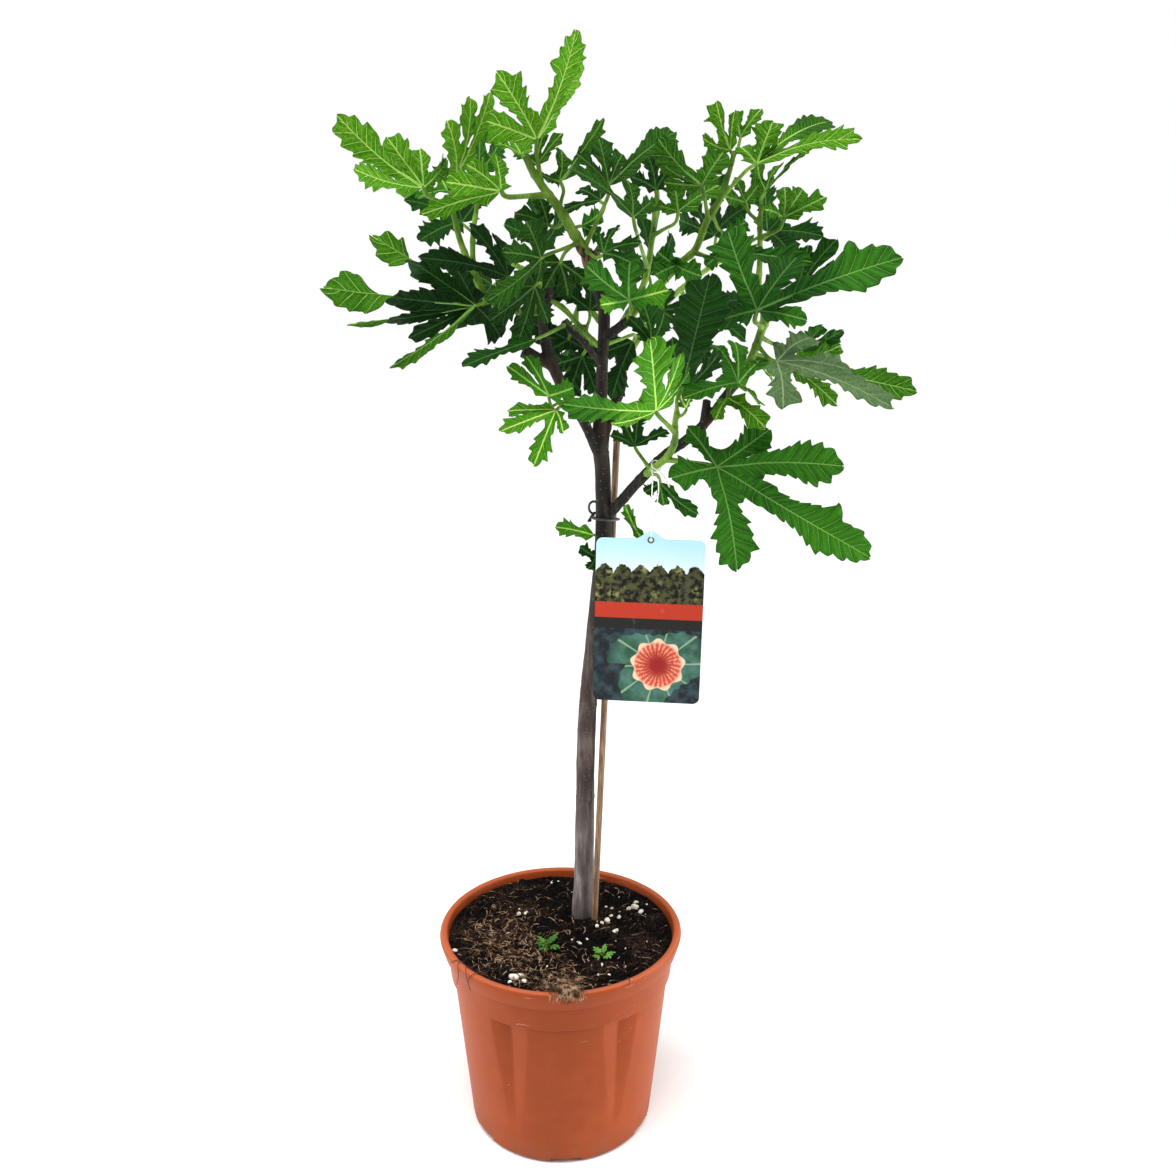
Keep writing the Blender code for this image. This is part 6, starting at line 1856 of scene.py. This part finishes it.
lowLeafLeft = [place((602, 540), (594, 535, 14), tip(556, 527, 4, 8, roll=25), radius=1.2, tone=0.6)]
lowLeafUnder = [
    place((601, 562), (596, 557, 14.5), tip(588, 569, 14, 5), tip(580, 547, 12, 6), radius=1.2, tone=0.2)
]
lowLeafRight = [place((602, 562), (644, 543, 22), tip(625, 505, 24, 5, arch=-0.1), radius=1.2, tone=0.65)]
backLeftLeaves = [
    place(
        (482, 242), (462, 222, 112),
        tip(420, 240, 60, 12), tip(405, 200, 90, 14), tip(440, 165, 130, 13), tip(480, 190, 170, 11),
        tone=0.18,
    ),
    place(
        (510, 262), (492, 285, 150), tip(474, 320, 110, 12), tip(430, 300, 160, 14), tip(450, 262, 210, 12),
        tone=0.18,
    ),
    place(
        (545, 280), (540, 250, 150), tip(505, 225, 110, 12), tip(530, 195, 150, 14), tip(565, 210, 200, 12),
        tone=0.21,
    ),
    place(
        (580, 300), (572, 325, 125), tip(596, 360, 165, 10), tip(560, 372, 110, 13), tip(535, 340, 75, 11),
        tone=0.15,
    ),
]
backRightLeaves = [
    place(
        (745, 245), (768, 232, 120),
        tip(765, 190, 170, 12), tip(805, 200, 120, 13), tip(822, 236, 70, 13), tip(795, 262, 50, 11),
        tone=0.23,
    ),
    place(
        (712, 266), (715, 235, 150),
        tip(680, 220, 200, 11), tip(690, 185, 180, 13), tip(725, 175, 130, 14), tip(750, 205, 90, 11),
        tone=0.21,
    ),
    place(
        (680, 290), (700, 312, 130), tip(745, 300, 175, 13), tip(745, 340, 120, 13), tip(700, 362, 80, 12),
        tone=0.18,
    ),
    place(
        (652, 320), (650, 275, 150), tip(620, 250, 110, 12), tip(640, 215, 140, 13), tip(672, 235, 190, 11),
        tone=0.15,
    ),
]

makeSprig("sprig_left", "seedling_1", (-0.0105, -0.0263), 0.4, 8, 0.013, 0.36)
makeSprig("sprig_right", "seedling_2", (0.0365, -0.0406), 1.3, 6, 0.0105, 0.5)
makeShoot("top_leaves", "top_shoot", "young_leaf", [topStem], [], topLeaves)
makeShoot("left_leaves", "left_shoot", "young_leaf", [leftStem, leftBackStem], [], leftLeaves)
makeShoot("low_left_leaves", "low_left_shoot", "leaf", [lowLeftStem], [], lowLeftLeaves)
makeShoot("inner_leaves", "inner_shoot", "shade_leaf", [innerStem], [], innerLeaves)
makeShoot("crossing_leaf", "cross_leaf", "leaf", [], [crossTwig], crossLeaves)
makeShoot("middle_leaves", "middle_shoot", "leaf", [middleStem], [], middleLeaves)
makeShoot("right_leaves", "right_shoot", "young_leaf", [rightStem], [], rightLeaves)
makeShoot("outer_leaves", "outer_shoot", "leaf", [outerStem], [], outerLeaves)
makeShoot("lower_leaves", "lower_shoot", "leaf", [lowerStem], [], lowerLeaves)
makeShoot("trunk_leaf_left", "low_leaf_left", "leaf", [], [trunk], lowLeafLeft)
makeShoot("trunk_leaf_under", "low_leaf_under", "leaf", [], [trunk], lowLeafUnder)
makeShoot("trunk_leaf_right", "low_leaf_right", "leaf", [], [trunk], lowLeafRight)
makeShoot("back_left_leaves", "back_left_shoot", "shade_leaf", [backLeftStem], [], backLeftLeaves)
makeShoot("back_right_leaves", "back_right_shoot", "shade_leaf", [backRightStem], [], backRightLeaves)
print("leaves made")


# Light and floor
plantMiddle, potMiddle = (0.03, 0.0, 0.45), (0.0, 0.0, 0.09)
studio = {
    "seenWorld": 1.0, "world": 0.3, "sun": 2.75, "sunAngle": 40, "sunTilt": (14, -4), "floorDrop": 0.0004,
    "floor": ((0.3, (0.93, 0.93, 0.92)), (0.7, (0.95, 0.95, 0.94))),
    "lamps": {  # place, what it faces, size and power
        "leftSoftbox": ((-1.5, -0.25, 0.9), plantMiddle, (1.4, 2.0), 17.0),
        "rightSoftbox": ((1.55, -0.2, 0.9), plantMiddle, (1.4, 2.0), 22.0),
        "lowLeftLamp": ((-0.95, 0.02, 0.14), potMiddle, (0.35, 0.35), 4.3),
        "lowRightLamp": ((1.0, 0.02, 0.14), potMiddle, (0.35, 0.35), 5.6),
        "topSoftbox": ((0.0, -0.4, 2.2), plantMiddle, (1.8, 1.4), 3.0),
    },
}


def addLight(name, place, target, size, power):
    lamp = bpy.data.lights.new(name, "AREA")
    lamp.energy = power
    lamp.shape = "RECTANGLE"
    lamp.size, lamp.size_y = size
    light = bpy.data.objects.new(name, lamp)
    light.location = place
    light.rotation_euler = (Vector(target) - Vector(place)).to_track_quat("-Z", "Y").to_euler()
    bpy.context.scene.collection.objects.link(light)


def makeStudio():
    ground = bmesh.new()
    bmesh.ops.create_grid(ground, x_segments=2, y_segments=2, size=40.0)
    finish = Finish("floorFinish")
    tone = finish.noise(finish.place(), 3.0, 2.0)
    floor = addObject(
        "floor", ground, [finish.paint(finish.ramp(tone, studio["floor"]), tone * 0.05 + 0.85)],
    )
    floor.location.z = -studio["floorDrop"]
    world = bpy.data.worlds.new("studio")
    bpy.context.scene.world = world
    world.use_nodes = True
    tree = world.node_tree
    tree.nodes["Background"].inputs["Color"].default_value = (1, 1, 1, 1)
    # the backdrop shows white and lights the plant more softly
    path = tree.nodes.new("ShaderNodeLightPath")
    strength = tree.nodes.new("ShaderNodeMapRange")
    strength.inputs["To Min"].default_value = studio["world"]
    strength.inputs["To Max"].default_value = studio["seenWorld"]
    tree.links.new(path.outputs["Is Camera Ray"], strength.inputs["Value"])
    tree.links.new(strength.outputs["Result"], tree.nodes["Background"].inputs["Strength"])
    lamp = bpy.data.lights.new("highSoftLight", "SUN")
    lamp.energy = studio["sun"]
    lamp.angle = math.radians(studio["sunAngle"])
    sun = bpy.data.objects.new("highSoftLight", lamp)
    sun.rotation_euler = (*[math.radians(tilt) for tilt in studio["sunTilt"]], 0)
    bpy.context.scene.collection.objects.link(sun)
    for name, lamp in studio["lamps"].items():
        addLight(name, *lamp)
    bpy.context.scene.view_settings.view_transform = "Standard"


makeStudio()
print("studio made")
